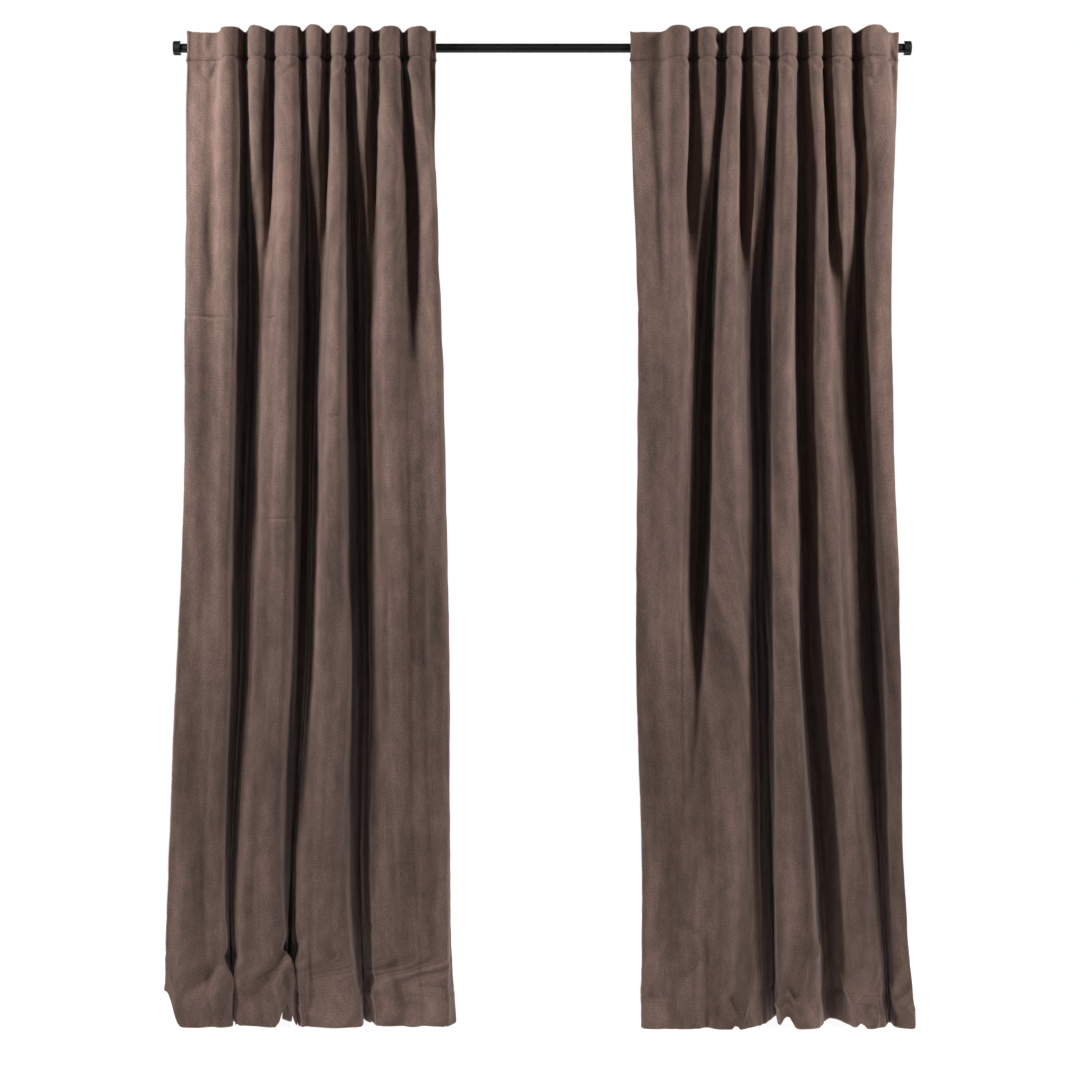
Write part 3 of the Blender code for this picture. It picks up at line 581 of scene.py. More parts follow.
# %% Left panel's creases
LEFT_PANEL["creases"] = (
    # below the stitched line
    ((0.045, -0.040), (0.083, -0.088), -0.0050, 0.006), ((0.125, -0.040), (0.087, -0.092), -0.0050, 0.006),
    ((0.085, -0.045), (0.086, -0.075), 0.0040, 0.009), ((0.100, -0.050), (0.112, -0.120), 0.0030, 0.008),
    ((0.37, -0.050), (0.45, -0.076), -0.0035, 0.005), ((0.455, -0.052), (0.39, -0.084), -0.0035, 0.005),
    ((0.36, -0.068), (0.41, -0.098), 0.0030, 0.006), ((0.59, -0.045), (0.645, -0.070), -0.0040, 0.005),
    ((0.64, -0.060), (0.60, -0.090), 0.0025, 0.005), ((0.60, -0.070), (0.64, -0.100), -0.0025, 0.005),
    ((0.25, -0.045), (0.30, -0.062), -0.0025, 0.005), ((0.70, -0.045), (0.72, -0.110), 0.0020, 0.006),
    ((0.88, -0.040), (0.955, -0.130), 0.0045, 0.008), ((0.90, -0.040), (0.965, -0.100), -0.0035, 0.006),
    ((0.80, -0.042), (0.85, -0.060), -0.0020, 0.005), ((0.15, -0.045), (0.20, -0.058), -0.0020, 0.005),
    # in the pocket above it
    ((0.030, 0.036), (0.042, -0.020), 0.0035, 0.0045), ((0.055, 0.034), (0.058, -0.028), -0.0045, 0.005),
    ((0.075, 0.036), (0.070, -0.012), 0.0040, 0.005), ((0.098, 0.034), (0.088, -0.010), -0.0035, 0.005),
    ((0.120, 0.030), (0.105, -0.030), 0.0040, 0.006), ((0.925, 0.036), (0.962, -0.008), -0.0040, 0.005),
    ((0.965, 0.036), (0.985, -0.028), 0.0045, 0.0045), ((0.945, 0.010), (0.975, -0.030), 0.0035, 0.005),
    ((0.40, 0.036), (0.41, -0.030), 0.0025, 0.010), ((0.61, 0.030), (0.62, -0.030), 0.0020, 0.006),
    # packing folds
    ((0.00, -0.660), (0.17, -0.664), -0.0022, 0.0035), ((0.26, -0.664), (0.36, -0.662), -0.0020, 0.0035),
    ((0.33, -1.150), (0.48, -1.148), -0.0020, 0.0035), ((0.55, -0.905), (0.64, -0.900), -0.0012, 0.0035),
    # the break on the floor
    ((0.020, -2.300), (0.185, -2.200), -0.0120, 0.017), ((0.075, -2.335), (0.190, -2.255), 0.0110, 0.028),
    ((0.252, -2.325), (0.435, -2.175), -0.0140, 0.018), ((0.315, -2.350), (0.440, -2.240), 0.0120, 0.030),
    ((0.474, -2.170), (0.476, -2.330), 0.0070, 0.009), ((0.455, -2.330), (0.620, -2.378), 0.0060, 0.010),
    ((0.600, -2.190), (0.560, -2.350), -0.0090, 0.022), ((0.835, -2.050), (0.880, -2.270), 0.0050, 0.012),
    ((0.740, -2.320), (0.800, -2.250), 0.0060, 0.012), ((0.720, -2.280), (0.860, -2.220), -0.0050, 0.014),
    ((0.78, -2.305), (0.93, -2.330), -0.0060, 0.016), ((0.93, -2.275), (1.05, -2.285), -0.0030, 0.006),
    ((0.70, -2.150), (0.80, -2.120), -0.0030, 0.008), ((0.10, -2.150), (0.16, -2.110), -0.0025, 0.010),
)

# %% Right panel's creases
RIGHT_PANEL["creases"] = (
    # below the stitched line
    ((0.863, -0.042), (0.888, -0.100), -0.0050, 0.006), ((0.925, -0.042), (0.890, -0.104), -0.0050, 0.006),
    ((0.893, -0.045), (0.890, -0.085), 0.0040, 0.008), ((0.950, -0.045), (0.962, -0.120), 0.0030, 0.007),
    ((0.145, -0.045), (0.205, -0.064), -0.0030, 0.005), ((0.26, -0.045), (0.31, -0.060), -0.0025, 0.005),
    ((0.36, -0.045), (0.40, -0.085), 0.0025, 0.006), ((0.44, -0.042), (0.50, -0.062), -0.0030, 0.005),
    ((0.55, -0.045), (0.60, -0.070), -0.0030, 0.005), ((0.60, -0.055), (0.56, -0.090), 0.0025, 0.006),
    ((0.66, -0.042), (0.70, -0.070), -0.0030, 0.005), ((0.74, -0.045), (0.80, -0.064), -0.0030, 0.005),
    ((0.05, -0.045), (0.06, -0.130), 0.0020, 0.010),
    # in the pocket above it
    ((0.275, 0.030), (0.320, -0.020), 0.0040, 0.005), ((0.300, 0.036), (0.325, 0.000), -0.0035, 0.005),
    ((0.150, 0.034), (0.165, -0.020), 0.0030, 0.006), ((0.968, 0.036), (0.985, -0.028), 0.0045, 0.0045),
    ((0.945, 0.020), (0.968, -0.026), -0.0035, 0.005), ((0.47, 0.030), (0.48, -0.030), 0.0020, 0.008),
    ((0.02, 0.020), (0.10, 0.016), -0.0012, 0.003), ((0.78, 0.034), (0.80, -0.028), -0.0025, 0.006),
    # packing folds
    ((0.00, -0.640), (0.16, -0.643), -0.0014, 0.0035), ((0.00, -1.130), (0.12, -1.128), -0.0012, 0.0035),
    # drag lines over the middle
    ((0.18, -1.46), (0.26, -1.50), -0.0022, 0.009), ((0.42, -1.52), (0.55, -1.60), -0.0022, 0.010),
    ((0.56, -1.30), (0.63, -1.33), -0.0018, 0.008), ((0.30, -1.78), (0.38, -1.84), -0.0022, 0.010),
    ((0.75, -1.62), (0.82, -1.68), -0.0020, 0.009), ((0.58, -1.95), (0.66, -2.02), -0.0025, 0.009),
    # the break on the floor
    ((0.275, -1.550), (0.245, -1.780), 0.0045, 0.016), ((0.245, -1.780), (0.191, -1.995), 0.0055, 0.016),
    ((0.191, -1.995), (0.154, -2.116), 0.0060, 0.015), ((0.154, -2.116), (0.106, -2.224), 0.0065, 0.014),
    ((0.106, -2.224), (0.057, -2.292), 0.0065, 0.012), ((0.235, -1.640), (0.205, -1.800), -0.0055, 0.022),
    ((0.205, -1.800), (0.155, -1.990), -0.0060, 0.022), ((0.155, -1.990), (0.115, -2.110), -0.0065, 0.020),
    ((0.115, -2.110), (0.075, -2.215), -0.0065, 0.018),
    ((0.200, -2.130), (0.280, -2.180), -0.0050, 0.012), ((0.190, -2.260), (0.270, -2.210), -0.0045, 0.014),
    ((0.330, -2.295), (0.385, -2.360), 0.0120, 0.009), ((0.360, -2.300), (0.400, -2.365), -0.0120, 0.009),
    ((0.430, -2.310), (0.390, -2.368), 0.0070, 0.008), ((0.500, -2.330), (0.620, -2.320), 0.0080, 0.010),
    ((0.590, -2.300), (0.640, -2.350), -0.0080, 0.009), ((0.560, -2.345), (0.640, -2.360), 0.0060, 0.008),
    ((0.700, -2.180), (0.780, -2.345), 0.0170, 0.013), ((0.670, -2.210), (0.655, -2.340), -0.0120, 0.018),
    ((0.765, -2.255), (0.780, -2.365), -0.0120, 0.008), ((0.790, -2.250), (0.860, -2.365), 0.0100, 0.009),
    ((0.890, -2.290), (0.905, -2.370), 0.0080, 0.008), ((0.880, -2.320), (0.860, -2.368), -0.0080, 0.010),
    ((0.960, -2.275), (1.040, -2.340), 0.0060, 0.010), ((0.930, -2.300), (1.000, -2.365), -0.0060, 0.012),
)

# %% Hem lifts
# Where the hem arches off the floor: (share of the gathered width, lift, half width).
LEFT_PANEL["lifts"] = (
    (0.408, 0.056, 0.026),
    (0.742, 0.007, 0.008),
    (0.205, 0.006, 0.008),
    (-0.088, 0.085, 0.042),
)
RIGHT_PANEL["lifts"] = (
    (0.575, 0.030, 0.022),
    (0.385, 0.010, 0.010),
    (0.850, 0.012, 0.012),
    (1.07, 0.022, 0.012),
)
for panel in PANELS:
    print(panel["name"], len(panel["creases"]), "creases and", len(panel["lifts"]), "lifts of the hem")


# %% Crease lines
def crease_depth(x, z, left_edge, width, lines):
    """How far each point moves towards the room, from the crease lines that pass near it."""
    total = np.zeros_like(x)
    for (u_a, z_a), (u_b, z_b), rise, spread in lines:
        a = np.array((left_edge + u_a * width, z_a))
        run = np.array((left_edge + u_b * width, z_b)) - a
        t = ((x - a[0]) * run[0] + (z - a[1]) * run[1]) / (run @ run)
        held = np.clip(t, 0, 1)
        away = np.hypot(x - a[0] - held * run[0], z - a[1] - held * run[1])
        fade = np.sqrt(np.clip(1 - (2 * held - 1) ** 4, 0, 1)) * 0.7 + 0.3
        total += rise * fade * np.exp(-((away / spread) ** 2))
    return total


def ridge(distance, height, half):
    """A raised line with a bell-shaped profile, or a groove where its height is negative."""
    return height * np.exp(-((distance / half) ** 2))


# %% [markdown]
# ## Rumples
#
# Between its creases the cloth isn't smooth either. A rumple is a random height field over
# the flat cloth, with cells of a set size, and several sizes are laid over one another.
# Each layer is (height, width of a cell, its height, seed), where the seed is counted from
# the panel's own, so that the two panels differ.

# %% Rumples
GATHER_RUMPLES = ((0.0016, 0.011, 0.045, 0), (0.0012, 0.006, 0.020, 1))
HANGING_RUMPLES = ((0.0042, 0.085, 0.60, 2), (0.0022, 0.038, 0.22, 8), (0.0010, 0.020, 0.07, 3))
FINE_RUMPLES = ((0.0005, 0.010, 0.024, 4),)
LOW_RUMPLES = ((0.0028, 0.040, 0.060, 5), (0.0012, 0.016, 0.026, 6))
TOP_EDGE_RUMPLES = ((0.0032, 0.045, 1.0, 7),)


def rumple(u, v, across, down, seed):
    """A smooth random height field over the flat cloth, from -1 to 1, with cells of a set size."""
    chance = np.random.default_rng(seed)
    i, j = (u - u.min()) / across, (v - v.min()) / down
    cells = chance.uniform(-1, 1, (int(i.max()) + 3, int(j.max()) + 3))
    a, b = i.astype(int), j.astype(int)
    s, t = smooth_step(i - a), smooth_step(j - b)
    top = cells[a, b] * (1 - s) + cells[a + 1, b] * s
    low = cells[a, b + 1] * (1 - s) + cells[a + 1, b + 1] * s
    return top * (1 - t) + low * t


def rumples(u, v, layers, seed):
    return sum(
        height * rumple(u, v, across, down, seed + step) for height, across, down, step in layers
    )


# %% Measures of a grid
def grid_normals(grid):
    """Unit normals of a grid of points, facing the room."""
    down = np.gradient(grid, axis=0)
    across = np.gradient(grid, axis=1)
    normal = np.cross(down, across)
    normal /= np.linalg.norm(normal, axis=2, keepdims=True) + 1e-12
    return -normal * np.sign(normal[..., 1].mean())


def even_normals(grid, rounds=12):
    """The normals averaged with their neighbours, for laying a second ply behind the first."""
    normal = grid_normals(grid)
    for _ in range(rounds):
        normal[:, 1:-1] = (normal[:, :-2] + 2 * normal[:, 1:-1] + normal[:, 2:]) / 4
        normal[1:-1] = (normal[:-2] + 2 * normal[1:-1] + normal[2:]) / 4
    return normal / np.linalg.norm(normal, axis=2, keepdims=True)


def along_width(grid):
    """Each point's place across the flat cloth, in metres: the length along its own row."""
    steps = np.linalg.norm(np.diff(grid, axis=1), axis=2)
    return np.hstack((np.zeros((len(grid), 1)), np.cumsum(steps, axis=1)))


# %% [markdown]
# ## Relief
#
# All of these are added up as one depth and the cloth moves by it along its normals. A
# crease fades out at the back of the folds, where it belongs to another layer of cloth. The
# stitched line is a narrow groove with the pocket full above it and the cloth swelling below.

# %% Relief
FIRST_PANEL_SEED = 40
SEED_STEP = 20
# Beside the stitched line: (how far below it, height, half width).
STITCHED_PROFILE = ((0.0, -0.0022, 0.0022), (0.0, -0.0014, 0.007), (0.018, 0.0014, 0.010))
POCKET_FULLNESS = 0.0016
HEM_GROOVE = (-0.0010, 0.006)  # height and half width
GATHERED_REACH = 0.035
RELIEF_ROOM = 0.006  # how far relief may stand in front of the folds' limit
SOFT_ROOM = 0.005  # what would stand further out is squeezed into this much more
HEM_LIFT_HEIGHT = 0.26
TOP_EDGE_SINK = 0.0045


def relief_depth(panel, u, front, seed):
    """How far each point of the face moves along its normal."""
    x, y, z = np.moveaxis(panel["face"], 2, 0)
    left_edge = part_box(f"{panel['name']}_heading_facing")[0].x
    below = STITCH_LINE - z
    pocket_middle = (HEADING_TOP + STITCH_LINE) / 2
    at_front = falling(y - front, start=0.035, length=0.05)
    in_pocket = falling(np.abs(z - pocket_middle), start=0.010, length=0.030)
    gathered = ridge(below, 1.0, GATHERED_REACH)
    hanging = rising(below, start=0.0, length=0.15)
    low = rising(-z, start=2.12, length=0.20)
    depth = crease_depth(x, z, left_edge, panel["gathered_width"], panel["creases"]) * at_front
    depth += sum(ridge(below - drop, height, half) for drop, height, half in STITCHED_PROFILE)
    depth += POCKET_FULLNESS * in_pocket
    depth += ridge(HEM_TOP - z, *HEM_GROOVE)
    depth += gathered * rumples(u, z, GATHER_RUMPLES, seed)
    depth += hanging * rumples(u, z, HANGING_RUMPLES, seed)
    depth += rumples(u, z, FINE_RUMPLES, seed)
    depth += low * rumples(u, z, LOW_RUMPLES, seed)
    return depth


def hold_front(face):
    """Squeezes what stands too far towards the room."""
    over = np.maximum(FRONT_LIMIT - RELIEF_ROOM - face[..., 1], 0.0)
    face[..., 1] += over - SOFT_ROOM * np.tanh(over / (2 * SOFT_ROOM))


def lift_hem(panel, front):
    """Raises the front of the hem in arches."""
    x, y, z = np.moveaxis(panel["face"], 2, 0)
    share = (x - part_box(f"{panel['name']}_heading_facing")[0].x) / panel["gathered_width"]
    arches = sum(
        rise * np.exp(-(np.abs((share - place) / half) ** 2.6))
        for place, rise, half in panel["lifts"]
    )
    near_hem = falling(z - HEM_BOTTOM, start=0.0, length=HEM_LIFT_HEIGHT)
    in_front = falling(y - front, start=0.030, length=0.035)
    panel["face"][..., 2] += arches * near_hem * in_front


def vary_top_edge(face, u, front, seed):
    """Lets the top edge rise and fall a little, and sink at the back of the folds."""
    y, z = face[..., 1], face[..., 2]
    near_top = rising(z, STITCH_LINE, POCKET) ** 2
    face[..., 2] += near_top * rumples(u, z * 0, TOP_EDGE_RUMPLES, seed)
    face[..., 2] -= TOP_EDGE_SINK * near_top * rising(y - front, start=0.045, length=0.06)


for number, panel in enumerate(PANELS):
    seed = FIRST_PANEL_SEED + SEED_STEP * number
    face = panel["face"]
    u = along_width(face)
    front = face[..., 1].min(axis=1, keepdims=True)
    depth = relief_depth(panel, u, front, seed)
    face += grid_normals(face) * depth[..., None]
    hold_front(face)
    lift_hem(panel, front)
    vary_top_edge(face, u, front, seed)
    print(panel["name"], "relief from", round(depth.min(), 4), "to", round(depth.max(), 4))

# %% [markdown]
# ## One sheet per panel
#
# A panel is cut larger than it hangs: the top edge turns back to the stitched line, the hem
# turns up and both sides turn in, so the sheet folds over all four edges. The turned parts
# lie a ply behind the face. They are the face's own grid, moved back along its normals, which
# are averaged with their neighbours so that the plies don't cross in a tight valley. The
# sheet's flat coordinates are its UV map, in metres, so the nap follows the cloth.


# %% Sheet builder
def make_mesh(name, points, flat, finish):
    """A quad mesh from [row, column, xyz], with its flat coordinates as a UV map."""
    rows, columns = points.shape[:2]
    mesh = bpy.data.meshes.new(name)
    index = np.arange(rows * columns).reshape(rows, columns)
    faces = np.stack(
        (index[:-1, :-1], index[1:, :-1], index[1:, 1:], index[:-1, 1:]), axis=-1
    ).reshape(-1, 4)
    mesh.from_pydata(points.reshape(-1, 3).tolist(), [], faces.tolist())
    layer = mesh.uv_layers.new(name="flat_cloth")
    uv = flat.reshape(-1, 2)[faces.reshape(-1)]
    layer.data.foreach_set("uv", uv.astype(np.float32).ravel())
    mesh.materials.append(finish)
    mesh.shade_smooth()
    obj = bpy.data.objects.new(name, mesh)
    bpy.context.scene.collection.objects.link(obj)
    return obj


# %% Turned edges
CORNER_PLY = 0.9  # how much further back the third ply of a corner lies, in plies


def turned_sheet(face, heights):
    """The face with its heading, hem and sides turned behind it, and the flat coordinates.

    A column across is (grid column, plies back, side), where the side is -1 on the left
    turning, 1 on the face and 2 on the right turning. A row down is (grid row, plies back,
    distance down the flat cloth from the top edge).
    """
    normal = even_normals(face)
    flat_u = along_width(face)
    width = flat_u.mean(axis=0)
    side = int(np.searchsorted(width, SIDE_TURNING))
    far = len(width) - int(np.searchsorted(width[-1] - width[::-1], SIDE_TURNING))
    last = len(width) - 1
    across = [(k, 1.0, -1) for k in range(side, 0, -1)]
    across += [(0, 0.5, 1)] + [(k, 0.0, 1) for k in range(1, last)] + [(last, 0.5, 1)]
    across += [(k, 1.0, 2) for k in range(last - 1, far - 2, -1)]
    drop = heights[0] - heights
    pocket = int(np.searchsorted(drop, POCKET))
    hem = int(np.searchsorted(-(drop[-1] - drop), -HEM))
    end = len(drop) - 1
    down = [(k, 1.0, -drop[k]) for k in range(pocket, 0, -1)]
    down += [(0, 0.5, 0.0)] + [(k, 0.0, drop[k]) for k in range(1, end)] + [(end, 0.5, drop[end])]
    down += [(k, 1.0, 2 * drop[end] - drop[k]) for k in range(end - 1, hem - 1, -1)]
    rows, row_back, row_drop = (np.array(values) for values in zip(*down))
    columns, column_back, side_of = (np.array(values) for values in zip(*across))
    back = np.maximum.outer(row_back, column_back)
    both = np.minimum.outer(row_back, column_back)  # a corner has a third ply behind
    offset = -(back + CORNER_PLY * both) * PLY
    points = face[rows][:, columns] + normal[rows][:, columns] * offset[..., None]
    own = flat_u[rows][:, columns]
    whole = flat_u[rows][:, -1:]
    flat = np.empty(points.shape[:2] + (2,))
    flat[..., 0] = np.where(side_of == 2, 2 * whole - own, side_of * own)
    flat[..., 1] = -row_drop[:, None]
    return points, flat


for panel in PANELS:
    points, flat = turned_sheet(panel["face"], heights)
    name = panel["name"]
    panel["sheet"] = make_mesh(f"{name}_velvet_sheet", points, flat, velvet)
    panel["cut"] = (FLAT_WIDTH + 2 * SIDE_TURNING, float(np.ptp(flat[..., 1])))
    print(name, "sheet", points.shape, "cut", panel["cut"])


# %% [markdown]
# ## Lining
#
# The lining hangs behind the velvet inside the side turnings, from the stitched line to a
# little above the hem's bottom. It follows the same folds, set behind the turned plies, and
# every second row of the grid is enough for a plain cloth.

# %% Lining
LINING_SET_BACK = 2 * VELVET + PLY_GAP
ROW_TOLERANCE = 0.001


def make_lining(panel):
    face = panel["face"]
    rows = (heights <= STITCH_LINE + ROW_TOLERANCE) & (heights >= LINING_BOTTOM)
    grid = face[rows]
    normal = even_normals(grid)
    flat_u = along_width(grid)
    width = flat_u.mean(axis=0)
    keep = (width > SIDE_TURNING / 2) & (width < width[-1] - SIDE_TURNING / 2)
    points = (grid - normal * LINING_SET_BACK)[:, keep]
    flat = np.empty(points.shape[:2] + (2,))
    flat[..., 0] = flat_u[:, keep]
    flat[..., 1] = grid[:, :1, 2]
    return make_mesh(f"{panel['name']}_lining_sheet", points[::2], flat[::2], lining_cloth)


for panel in PANELS:
    panel["lining_sheet"] = make_lining(panel)
    print(panel["lining_sheet"].name, len(panel["lining_sheet"].data.polygons), "faces")

# %% [markdown]
# ## Stitches
#
# One line of stitches closes the pocket of each panel and another holds its hem. Copying
# hundreds of stitches by hand would be fragile, so Geometry Nodes lay them: the row is a
# curve, cut into equal steps, with a small stitch turned along it at each step and a little
# chance in its size. The result is turned into a plain mesh, one piece per panel.


# %% Stitch nodes
STITCH_SIZES = (("Pitch", 0.0036), ("Length", 0.0027), ("Radius", 0.0005))
FIRST_SEED = 3


def stitch_nodes():
    tree = bpy.data.node_groups.new("stitch_row", "GeometryNodeTree")

    def socket(label, kind, in_out="INPUT"):
        return tree.interface.new_socket(label, in_out=in_out, socket_type=f"NodeSocket{kind}")

    socket("Geometry", "Geometry")
    for label, value in STITCH_SIZES:
        socket(label, "Float").default_value = value
    socket("Seed", "Int").default_value = FIRST_SEED
    socket("Thread", "Material")
    socket("Geometry", "Geometry", "OUTPUT")

    def node(kind, settings=None, inputs=None):
        made = tree.nodes.new(kind)
        for key, value in (settings or {}).items():
            setattr(made, key, value)
        for key, value in (inputs or {}).items():
            if isinstance(value, bpy.types.NodeSocket):
                tree.links.new(value, made.inputs[key])
            else:
                made.inputs[key].default_value = value
        return made

    given = node("NodeGroupInput")
    line = node("GeometryNodeMeshToCurve", inputs={"Mesh": given.outputs["Geometry"]})
    steps = node(
        "GeometryNodeResampleCurve",
        {"mode": "LENGTH"},
        {"Curve": line.outputs["Curve"], "Length": given.outputs["Pitch"]},
    )
    ball = node("GeometryNodeMeshUVSphere", inputs={"Segments": 6, "Rings": 5, "Radius": 0.5})
    tangent = node("GeometryNodeInputTangent")
    turn = node(
        "FunctionNodeAlignRotationToVector", {"axis": "X"}, {"Vector": tangent.outputs["Tangent"]}
    )
    chance = node(
        "FunctionNodeRandomValue",
        {"data_type": "FLOAT"},
        {2: 0.85, 3: 1.12, "Seed": given.outputs["Seed"]},
    )
    long = node(
        "ShaderNodeMath",
        {"operation": "MULTIPLY"},
        {0: given.outputs["Length"], 1: chance.outputs[1]},
    )
    thick = node("ShaderNodeMath", {"operation": "MULTIPLY"}, {0: given.outputs["Radius"], 1: 2.0})
    size = node(
        "ShaderNodeCombineXYZ",
        inputs={"X": long.outputs[0], "Y": thick.outputs[0], "Z": thick.outputs[0]},
    )
    copies = node(
        "GeometryNodeInstanceOnPoints",
        inputs={
            "Points": steps.outputs["Curve"],
            "Instance": ball.outputs["Mesh"],
            "Rotation": turn.outputs["Rotation"],
            "Scale": size.outputs["Vector"],
        },
    )
    real = node("GeometryNodeRealizeInstances", inputs={"Geometry": copies.outputs["Instances"]})
    coloured = node(
        "GeometryNodeSetMaterial",
        inputs={"Geometry": real.outputs["Geometry"], "Material": given.outputs["Thread"]},
    )
    out = node("NodeGroupOutput")
    tree.links.new(coloured.outputs["Geometry"], out.inputs["Geometry"])
    return tree


# %% Stitches
STITCH_RAISE = 0.0001  # how far the row lies in front of the cloth


def stitch_rows(name, rows_of_points, seed):
    """One piece of stitches along each of the given rows of points."""
    mesh = bpy.data.meshes.new(name)
    points, edges = [], []
    for row in rows_of_points:
        first = len(points)
        points += row.tolist()
        edges += [(k, k + 1) for k in range(first, first + len(row) - 1)]
    mesh.from_pydata(points, edges, [])
    guide = bpy.data.objects.new(name + "_guide", mesh)
    bpy.context.scene.collection.objects.link(guide)
    modifier = guide.modifiers.new("stitches", "NODES")
    modifier.node_group = stitch_tree
    for item in stitch_tree.interface.items_tree:
        if item.in_out == "INPUT" and item.name == "Seed":
            modifier[item.identifier] = seed
        if item.in_out == "INPUT" and item.name == "Thread":
            modifier[item.identifier] = thread
    bpy.context.view_layer.update()
    evaluated = guide.evaluated_get(bpy.context.evaluated_depsgraph_get())
    made = bpy.data.meshes.new_from_object(evaluated)
    made.name = name
    made.shade_smooth()
    bpy.data.objects.remove(guide)
    piece = bpy.data.objects.new(name, made)
    bpy.context.scene.collection.objects.link(piece)
    return piece


stitch_tree = stitch_nodes()
for number, panel in enumerate(PANELS):
    face = panel["face"]
    normal = grid_normals(face)
    rows = [int(np.argmin(np.abs(heights - z))) for z in (STITCH_LINE, HEM_TOP)]
    lines = [face[row] + normal[row] * STITCH_RAISE for row in rows]
    name = f"{panel['name']}_stitches"
    panel["stitches"] = stitch_rows(name, lines, FIRST_SEED + number)
    print(name, len(panel["stitches"].data.polygons), "faces")

# %% [markdown]
# ## Loops, rod and brackets
#
# The nine loops of each panel are cut from the velvet: each is its own strap with softened
# edges, so it can slide on the rod by itself. The metal pieces keep the frame's meshes and
# only take their finishes.


# %% Loops and finishes
DOUBLE = 1e-6
FLAT_JOIN = math.radians(1)
SHARP = math.radians(60)
SOFTENING = 0.0004


def finish_node(name, finish):
    mesh = nodes[name].data
    mesh.materials.clear()
    mesh.materials.append(finish)


def make_loop(node_name):
    """A strap over the frame's loop, with rounded edges, and the length of its flat cloth."""
    source = nodes[node_name]
    mesh = source.data.copy()
    mesh.name = f"{node_name}_strap"
    mesh.transform(source.matrix_world)
    bm = bmesh.new()
    bm.from_mesh(mesh)
    bmesh.ops.remove_doubles(bm, verts=bm.verts, dist=DOUBLE)
    bmesh.ops.dissolve_limit(bm, angle_limit=FLAT_JOIN, verts=bm.verts, edges=bm.edges)
    area = sum(face.calc_area() for face in bm.faces)
    sharp = [
        edge for edge in bm.edges if len(edge.link_faces) == 2 and edge.calc_face_angle() > SHARP
    ]
    bmesh.ops.bevel(bm, geom=sharp, offset=SOFTENING, segments=2, profile=0.5, affect="EDGES")
    bmesh.ops.triangulate(bm, faces=bm.faces)
    bm.to_mesh(mesh)
    bm.free()
    mesh.materials.clear()
    mesh.materials.append(velvet)
    layer = mesh.uv_layers.new(name="flat_cloth")
    for loop in mesh.loops:
        co = mesh.vertices[loop.vertex_index].co
        layer.data[loop.index].uv = (co.x, co.z - co.y)
    mesh.shade_smooth()
    obj = bpy.data.objects.new(mesh.name, mesh)
    bpy.context.scene.collection.objects.link(obj)
    return obj, area / 2 / TAB_WIDTH


loops = {}
for name in list(nodes):
    if "_tab_" in name:
        loops[name] = make_loop(name)
    elif name.endswith("upper_screw") or name.endswith("lower_screw"):
        finish_node(name, zinc)
    elif name.startswith(("rod", "end_cap", "bracket")):
        finish_node(name, black_metal)
print(len(loops), "loops made")

# %% [markdown]
# ## Which body carries what
#
# The outermost loop stays by the bracket and the leading one is drawn along the rod.
# The loops between them slide on bodies of their own. The sheets, their linings and
# their stitches are baked in place, and the frame's velvet and lining solids are hidden.

# %% Rides, sheets and replacements
VELVET_PARTS = ("face_panel", "heading_facing", "hem_facing", "left_turning", "right_turning")


for panel in PANELS:
    name = panel["name"]
    for piece in (panel["sheet"], panel["lining_sheet"], panel["stitches"]):
        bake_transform(piece)
    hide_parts(*(f"{name}_{part}" for part in VELVET_PARTS))
    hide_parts(f"{name}_lining")
    end_bodies = {0: "rod_and_brackets", TAB_COUNT - 1: f"{name}_leading_edge"}
    for k in range(TAB_COUNT):
        tab = f"{name}_tab_{k}"
        strap, long = loops[tab]
        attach(strap, end_bodies.get(k, f"{tab}_loop"))
        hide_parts(tab)
    print(name, "carried by rod_and_brackets and", f"{name}_leading_edge")

# %% [markdown]
# ## Floor, light and camera
#
# A pale floor, a tall soft light on each side and slightly in front, a weak fill from the
# front, and a light behind that shows the dark lining. The floor glows and the world is
# bright mainly to the camera, so both look white while the side lights shape the folds. The
# camera stands five metres from the rod, at half the curtains' height.

# %% Stage
SOFTBOX = (0.5, 1.3)
LIGHTS = (
    # name, place, what it points at, (width, height), watts
    ("left_softbox", (-2.05, -1.20, 0.20), (-0.5, -0.1, -0.8), SOFTBOX, 86),
    ("right_softbox", (2.05, -1.20, 0.20), (0.5, -0.1, -0.8), SOFTBOX, 76),
    ("front_fill", (0.0, -5.0, 1.4), (0.0, -0.1, -0.8), (2.4, 1.6), 12),
    ("lining_fill", (0.0, 4.0, 0.8), (0.0, 0.0, -1.1), (3.0, 2.0), 60),
)
FLOOR_CORNERS = ((-2.4, -0.8), (2.4, -0.8), (2.4, 1.4), (-2.4, 1.4))
WORLD_LIGHT = 0.04
WORLD_TO_CAMERA = 0.96  # added to the above where the camera looks straight at the world


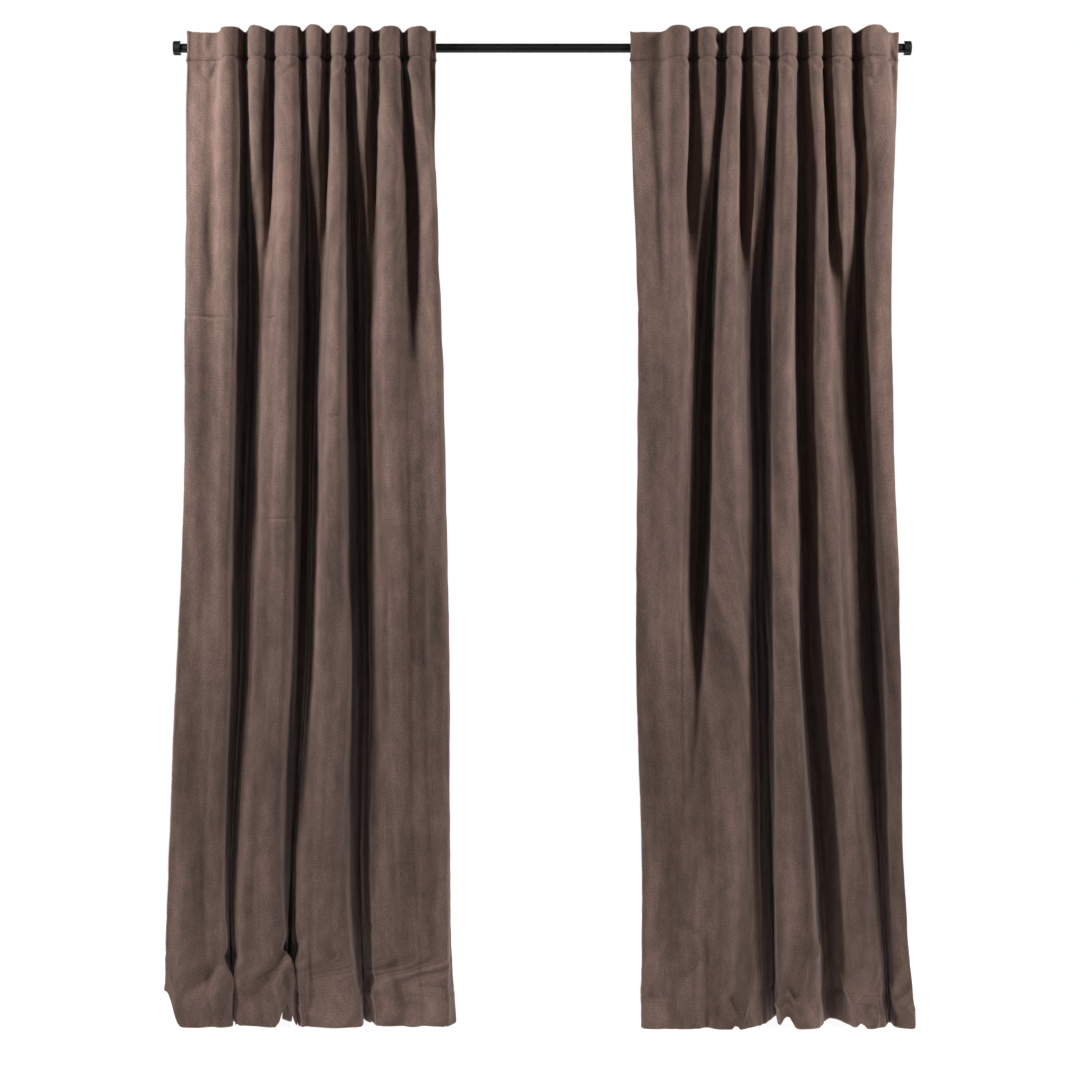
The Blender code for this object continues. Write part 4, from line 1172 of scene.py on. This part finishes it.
def make_floor():
    mesh = bpy.data.meshes.new("pale_floor")
    mesh.from_pydata([(x, y, FLOOR) for x, y in FLOOR_CORNERS], [], [(0, 1, 2, 3)])
    paint = Material("pale_floor_paint")
    paint.feed(Base_Color=(0.25, 0.25, 0.25, 1.0), Roughness=0.9)
    paint.feed(Emission_Color=(1.0, 1.0, 1.0, 1.0), Emission_Strength=0.93)
    mesh.materials.append(paint.made)
    floor = bpy.data.objects.new("pale_floor", mesh)
    bpy.context.scene.collection.objects.link(floor)


def area_light(name, place, target, size, watts):
    light = bpy.data.lights.new(name, "AREA")
    light.shape = "RECTANGLE"
    light.size, light.size_y = size
    light.energy = watts
    obj = bpy.data.objects.new(name, light)
    obj.location = place
    obj.rotation_euler = (Vector(target) - obj.location).to_track_quat("-Z", "Y").to_euler()
    bpy.context.scene.collection.objects.link(obj)


def make_world():
    world = bpy.data.worlds.new("studio")
    world.use_nodes = True
    tree = world.node_tree
    background = tree.nodes["Background"]
    background.inputs["Color"].default_value = (1, 1, 1, 1)
    rays = tree.nodes.new("ShaderNodeLightPath")
    strength = Socket(tree, rays.outputs["Is Camera Ray"]) * WORLD_TO_CAMERA + WORLD_LIGHT
    tree.links.new(strength.output, background.inputs["Strength"])
    bpy.context.scene.world = world


make_floor()
make_world()
for light in LIGHTS:
    area_light(*light)
print("lights:", [light[0] for light in LIGHTS])

# %% Camera
CAMERA_DISTANCE = 5.0
CAMERA_PLACE = (-0.0056, ROD_Y - CAMERA_DISTANCE, -1.2)
VIEW_WIDTH = 2.635  # at the rod

camera_data = bpy.data.cameras.new("camera")
camera_data.sensor_width = 36.0
camera_data.lens = camera_data.sensor_width * CAMERA_DISTANCE / VIEW_WIDTH
camera = bpy.data.objects.new("camera", camera_data)
camera.location = CAMERA_PLACE
camera.rotation_euler = (math.pi / 2, 0.0, 0.0)
bpy.context.scene.collection.objects.link(camera)
bpy.context.scene.camera = camera
bpy.context.scene.view_settings.view_transform = "Standard"
print("camera", CAMERA_PLACE, "lens", round(camera_data.lens, 2))
